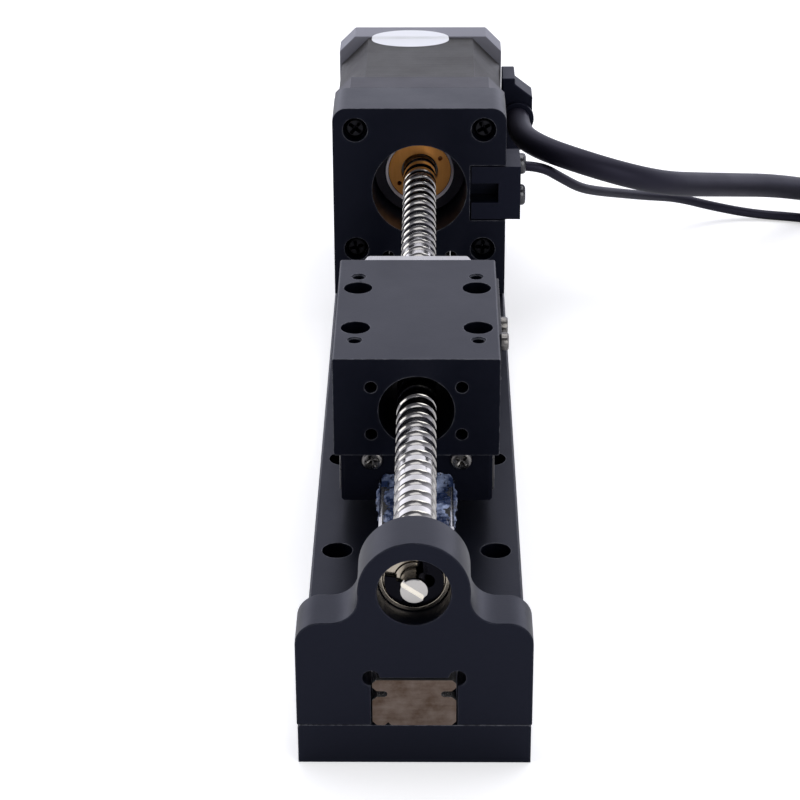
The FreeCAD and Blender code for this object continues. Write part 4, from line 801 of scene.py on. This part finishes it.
ROWS = (-80, -40, 0, 40, 80)
CAP = (5.5, 3, 3)
PAN = (5.2, 2.2, 3)
GUIDE_SCREW = (4.3, 1, 2, 9)
NUT_SCREW_X, NUT_SCREW_Z, MOTOR_SCREW = 9.1, 5.25, 15.5
BASE_SEATS, CARRIAGE_SEATS = 3.5, 41
for screws in (
        ("motor_screws", BLACKENED, "base", (*PAN, 15.2), "cross", "front",
         square(MOTOR_SCREW, AXIS_Z, 91.6, MOTOR_SCREW)),
        ("motor_body_screws", BLACKENED, "base", (*PAN, 40.6), "cross", "rear",
         square(MOTOR_SCREW, AXIS_Z, 148.4, MOTOR_SCREW)),
        ("rail_screws", BLACKENED, "base", (*CAP, 10.5), "socket", "up", [(0, y, 13) for y in ROWS]),
        ("front_block_screws", BLACKENED, "base", (*CAP, 13.5), "socket", "down",
         [(x, -98, BASE_SEATS) for x in (-15, 15)]),
        ("motor_bracket_screws", BLACKENED, "base", (*CAP, 10.5), "socket", "down",
         [(x, 95.5, BASE_SEATS) for x in (-14.5, 14.5)]),
        ("carriage_screws", BLACKENED, "carriage", (*CAP, 20), "socket", "up",
         [(x, y, CARRIAGE_SEATS) for x in (-12.5, 12.5) for y in (-17, 3)]),
        ("nut_screws", BLACKENED, "carriage", (*CAP, 14.5), "socket", "rear",
         square(NUT_SCREW_X, AXIS_Z, 23, NUT_SCREW_Z)),
        ("guide_front_cap_screws", ZINC_BLACK, "carriage", GUIDE_SCREW, "cross", "front",
         [(x, -28, 22.5) for x in (-9.1, 9.1)]),
        ("guide_rear_cap_screws", ZINC_BLACK, "carriage", GUIDE_SCREW, "cross", "rear",
         [(x, 14, 22.5) for x in (-9.1, 9.1)]),
        ("flag_screws", ZINC_BLACK, "carriage", (3.8, 1.6, 2, 2.8), "socket", "right",
         [(17.75, y, AXIS_Z) for y in (1, 9)]),
        ("sensor_screws", SENSOR_SCREW, "base", (5.2, 1.5, 2, 6.6), "cross", "right",
         [(24.6, 97.5, 34.7 + z) for z in (-4.1, 4.1)])):
    make_screws(*screws)

# %% [markdown]
# ## A blank sticker
#
# An oval label of white film is stuck on the motor's top. It lies half on the iron stack and half on the rear
# cap, which stands 0.5 mm higher, so it is draped over that step. Its surface is a disc of rings, and each
# point's height follows the step by a smooth curve. It stays blank.

# %% The sticker on the motor
LABEL_WHITE = satin_finish("white_label", (0.76, 0.77, 0.8), (0.82, 0.82, 0.83), 0.35, 1.45, 900, 0.1, 0.2)


def make_sticker():
    """An oval sheet 0.07 mm thick: height = stack top + step * smooth(y across the step)."""
    middle_x, middle_y, half_wide, half_long = -2.6, 142, 10, 6
    stack_top, cap_step, step_y = 56.0, 0.5, 143
    share = np.concatenate([np.linspace(0, 1, 25), [1.0]])
    angle = np.linspace(0, 2 * np.pi, 96, endpoint=False)
    x = middle_x + half_wide * share[:, None] * np.cos(angle)
    y = middle_y + half_long * share[:, None] * np.sin(angle)
    rise = np.clip((y - step_y + 0.8) / 0.8, 0, 1)
    under = stack_top + cap_step * rise * rise * (3 - 2 * rise) + 0.01
    high = np.where(np.arange(len(share))[:, None] == len(share) - 1, 0, 0.07)
    upper = np.stack([x, y, under + high], -1)
    lower = np.stack([x, y, under], -1)[-2::-1]
    points = np.concatenate([upper, lower]).reshape(-1, 3)
    add_piece("motor_sticker", points, grid_faces(2 * len(share) - 1, len(angle)), LABEL_WHITE, "base")


make_sticker()

# %% [markdown]
# ## Grease on the rail
#
# The guide was just greased: where the carriage has pushed the blue grease along, it stands on the rail in
# streaks and lumps, and some of it clings to the rail's sides. Each smear is a height above the steel: waves
# of several lengths are added up, and only what rises over a threshold shows. The rest stays a hair under the
# surface, where the steel hides it.

# %% Grease in front of the carriage


def grease_finish():
    """Blue grease: glossy, uneven, and nearly black along some of its streaks."""
    material, tree, shader = new_material("blue_grease")
    streaks = place_group(tree, "streaks", {"Stretch": (1500, 300, 900), "Depth": 1.0})
    patches = place_group(tree, "mottle", {"Scale": 240, "Low": -0.55, "High": 1.1})
    share = add_node(tree, "ShaderNodeClamp", {"Value": patches.outputs["Value"]})
    body = mixed_colour(tree, share.outputs["Result"], (0.018, 0.032, 0.085), (0.4, 0.48, 0.7))
    body_share = rescale(tree, streaks.outputs["Value"], (0.37, 0.43), (0, 1))
    mottle = place_group(tree, "mottle", {"Scale": 900, "Low": 0.12, "High": 0.4})
    fill(tree, shader, {
        "Base Color": mixed_colour(tree, body_share, (0.003, 0.004, 0.009), body),
        "Roughness": mottle.outputs["Value"], "Normal": streaks.outputs["Normal"]})
    return material


GREASE = grease_finish()


def waves(a, b):
    """Uneven heights between about -1 and 1, as a sum of waves that never fall in step."""
    slow = np.sin(1.1 * a + 0.7 * b + 1.3) + np.sin(0.83 * b - 0.9 * a + 0.4)
    quick = np.sin(2.9 * a + 1.7 * b) + np.sin(3.7 * b - 2.3 * a + 2.1)
    fine = np.sin(7.1 * a - 5.3 * b + 0.5) * np.sin(6.3 * b + 4.1 * a)
    return 0.26 * slow + 0.18 * quick + 0.12 * fine


def smear(columns, rows, reach):
    """Heights of a smear: waves, less a threshold that climbs to its edges and away from the guide."""
    a, b = np.meshgrid(columns, rows, indexing="ij")
    aside = np.abs((a - columns.mean()) / (columns[-1] - columns[0]) * 2)
    ahead = np.clip((rows[-1] - b) / reach, 0, 1)
    return a, b, np.clip(waves(a, b) + 0.75 - 0.9 * aside ** 3 - 1.1 * ahead ** 2, 0, 1)


def closed_sheet(top, under):
    """Points and faces of a block between two grids of the same size, closed round its four sides."""
    rows, columns = top.shape[:2]
    loop = np.concatenate([top, under[:, ::-1]], 1)
    points = loop.reshape(-1, 3)
    faces = list(grid_faces(rows, 2 * columns)) + [np.arange(2 * columns),
                                                   np.arange(2 * columns) + (rows - 1) * 2 * columns]
    return points, faces


def swept(piece):
    """Gives the grease piece a mesh of its own."""
    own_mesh(piece)


def make_grease():
    """Two smears on the rail's top, one to each side of the screw, and a lump on each of its sides.

    In front of the seal the guide pushes a higher bead along, which so rides on the carriage."""
    guide_y, in_top, in_side, skin = -28.1, 17.46, 7.46, 0.02
    shells = []
    for low, high, reach in ((-6.6, -3.2, 34), (2.6, 6.9, 30)):
        x, y, height = smear(np.linspace(low, high, 40), np.linspace(-66, guide_y, 220), reach)
        shells.append(closed_sheet(np.stack([x, y, in_top + skin + 0.6 * height], -1),
                                   np.stack([x, y, in_top + 0 * x], -1)))
    points, faces = join_shells(shells)
    swept(add_piece("rail_grease", points, faces, GREASE, "base", smooth=60))
    for name, side, low in (("left", -1, -42), ("right", 1, -46)):
        along = np.linspace(low, guide_y, 90)
        z, y, height = smear(np.linspace(13.2, 17.2, 30), along, 0.9 * (guide_y - low))
        points, faces = closed_sheet(np.stack([side * (in_side + skin + 0.8 * height), y, z], -1),
                                     np.stack([side * in_side + 0 * z, y, z], -1))
        piece = add_piece(name + "_side_grease", points, faces, GREASE, "base", smooth=60)
        swept(piece)
    beads = []
    for low, high in ((-7.2, -3.4), (3.0, 7.4)):
        x, y = np.meshgrid(np.linspace(low, high, 50), np.linspace(-31.6, -28.3, 50), indexing="ij")
        aside = np.abs((x - (low + high) / 2) / (high - low) * 2)
        rise = ((y + 31.6) / 3.3) ** 1.4 * (1.4 + 0.7 * waves(1.1 * x, 1.1 * y)) * (1 - aside ** 4)
        beads.append(closed_sheet(np.stack([x, y, 18.1 + rise], -1), np.stack([x, y, 18.05 + 0 * x], -1)))
    points, faces = join_shells(beads)
    add_piece("seal_grease", points, faces, GREASE, "carriage", smooth=60)


make_grease()

# %% [markdown]
# ## A collar round the coppered nut, with a painted highlight
#
# Behind the bracket the motor's end was turned after it was painted, so a low collar of unpainted metal
# stands round the coppered nut. Its pale satin colour is a painted highlight, so it shows as a fine pale
# arc inside the bore's shade. Its profile is turned about the axis, as the journal's is, and ends where it
# starts, so that it closes to a ring.

# %% The collar
nut_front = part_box("motor_ring_nut")[0][1] / MM
collar_rear, collar_front = nut_front - 0.01, nut_front - 0.7
collar_points, collar_faces = lathe([
    (collar_rear, 7.8), (nut_front - 0.12, 7.82), (collar_front, 8.3), (collar_front, 8.4),
    (collar_rear, 8.5), (collar_rear, 7.8)], 96)
# Pale satin, not metal: a painted highlight for the bright arc round the nut.
COLLAR_PAINTED_HIGHLIGHT = satin_finish("collar_painted_highlight", (0.72, 0.69, 0.76), (0.76, 0.73, 0.8), 0.3, 1.45, 900, 0.1, 0.3)
add_piece("nut_collar", collar_points, collar_faces, COLLAR_PAINTED_HIGHLIGHT, "base")

# %% [markdown]
# ## Two cables
#
# A cable is one smooth curve: it leaves its gland straight, bends down, and lies on the floor. The points
# below are the route's control points. A NURBS curve of order 3 passes near them without a kink. What the
# picture doesn't show of the length is wound in a neat coil just outside the view. The motor's cable lies in
# a flat spiral of nearly two turns, and its end crosses over them to the plug. The thin sensor cable has four
# turns inwards and four outwards on top of them.

# %% The cables
SHEATH = satin_finish(
    "cable_sheath", (0.0052, 0.0046, 0.0085), (0.01, 0.01, 0.013), 0.5, 1.43, 1600, 0.35, 0.05,
    (0.72, 0.7, 1))
MOTOR_ROUTE = [
    (25, 128.5, 39.1), (25, 118, 39.1), (29.7, 107.6, 39.3), (38.9, 100.8, 38.3), (50.6, 99.9, 34.9),
    (61.4, 105.4, 30.4), (71.2, 117, 25.6), (82, 131, 20), (94, 145.4, 14.2), (107, 158.6, 7.6),
    (117.3, 164.8, 3.8), (128.2, 168.5, 3.1), (139.1, 170, 3.1),
]
SENSOR_ROUTE = [
    (25.8, 102.3, 36.3), (30.2, 102.3, 36.15), (35.4, 104.9, 32.1), (40.4, 110.6, 27.2), (45.6, 119, 23),
    (52, 129.4, 18.3), (60, 140, 13.4), (69, 149.4, 9.2), (79, 155.4, 4.3), (91, 157, 1.25),
    (103.5, 154.6, 1.25), (115.5, 149.8, 1.25),
]
MOTOR_TAIL = [(143.5, 178.5, 9.7), (153.6, 168.4, 9.9), (160, 162, 7.73)]
SENSOR_TAIL = [(133, 149.8, 3.3), (138.95, 149.8, 2.7)]
PER_TURN = 16
CURVE_LOSS = 0.019


def coil_points(centre, start_angle, way, turns, radius_at, height_at):
    """Control points of a coil. Its curve runs inside them by CURVE_LOSS, so they stand out by that."""
    gone = np.arange(round(turns * PER_TURN) + 1) / PER_TURN
    radius = radius_at(gone) / (1 - CURVE_LOSS * np.minimum(gone * PER_TURN, 1))
    angle = np.radians(start_angle + way * 360 * gone)
    x = centre[0] + radius * np.cos(angle)
    y = centre[1] + radius * np.sin(angle)
    return list(zip(x, y, height_at(gone)))


def ease(low, high, value):
    """0 up to low, 1 from high, and a smooth climb between them."""
    share = np.clip((value - low) / (high - low), 0, 1)
    return share * share * (3 - 2 * share)


def make_cord(name, points, diameter, material):
    """A round cable as one NURBS curve that nothing but its control points shapes."""
    curve = bpy.data.curves.new(name, "CURVE")
    curve.dimensions = "3D"
    spline = curve.splines.new("NURBS")
    spline.points.add(len(points) - 1)
    weighted = np.concatenate([np.array(points) * MM, np.ones((len(points), 1))], 1)
    spline.points.foreach_set("co", weighted.ravel())
    spline.order_u = 3
    spline.use_endpoint_u = True
    curve.resolution_u = 6
    curve.bevel_depth = diameter * MM / 2
    curve.bevel_resolution = 5
    curve.use_fill_caps = True
    curve.materials.append(material)
    cord = add_object(name, curve)
    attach(cord, "base")
    return cord


motor_points = MOTOR_ROUTE + coil_points(
    (149.6, 204), -90, 1, 1.875, lambda gone: 34 - 6.2 * gone,
    lambda gone: 3.1 + 5.9 * ease(1.55, 1.875, gone)) + MOTOR_TAIL
sensor_points = SENSOR_ROUTE + coil_points(
    (127, 130.8), 90, -1, 8, lambda gone: 9 + 2.5 * np.abs(4 - gone),
    lambda gone: 1.25 + 2.5 * ease(3.92, 4.08, gone)) + SENSOR_TAIL
motor_cord = make_cord("motor_cable_cord", motor_points, 6.2, SHEATH)
sensor_cord = make_cord("sensor_cable_cord", sensor_points, 2.5, SHEATH)
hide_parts("motor_cable", "motor_cable_coil")
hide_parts("sensor_cable", "sensor_cable_coil")
dress("motor_cable_plug", IVORY)
dress("sensor_cable_leads", MOULDED)
print("control points:", len(motor_points), "and", len(sensor_points))

# %% Update the scene
bpy.context.view_layer.update()
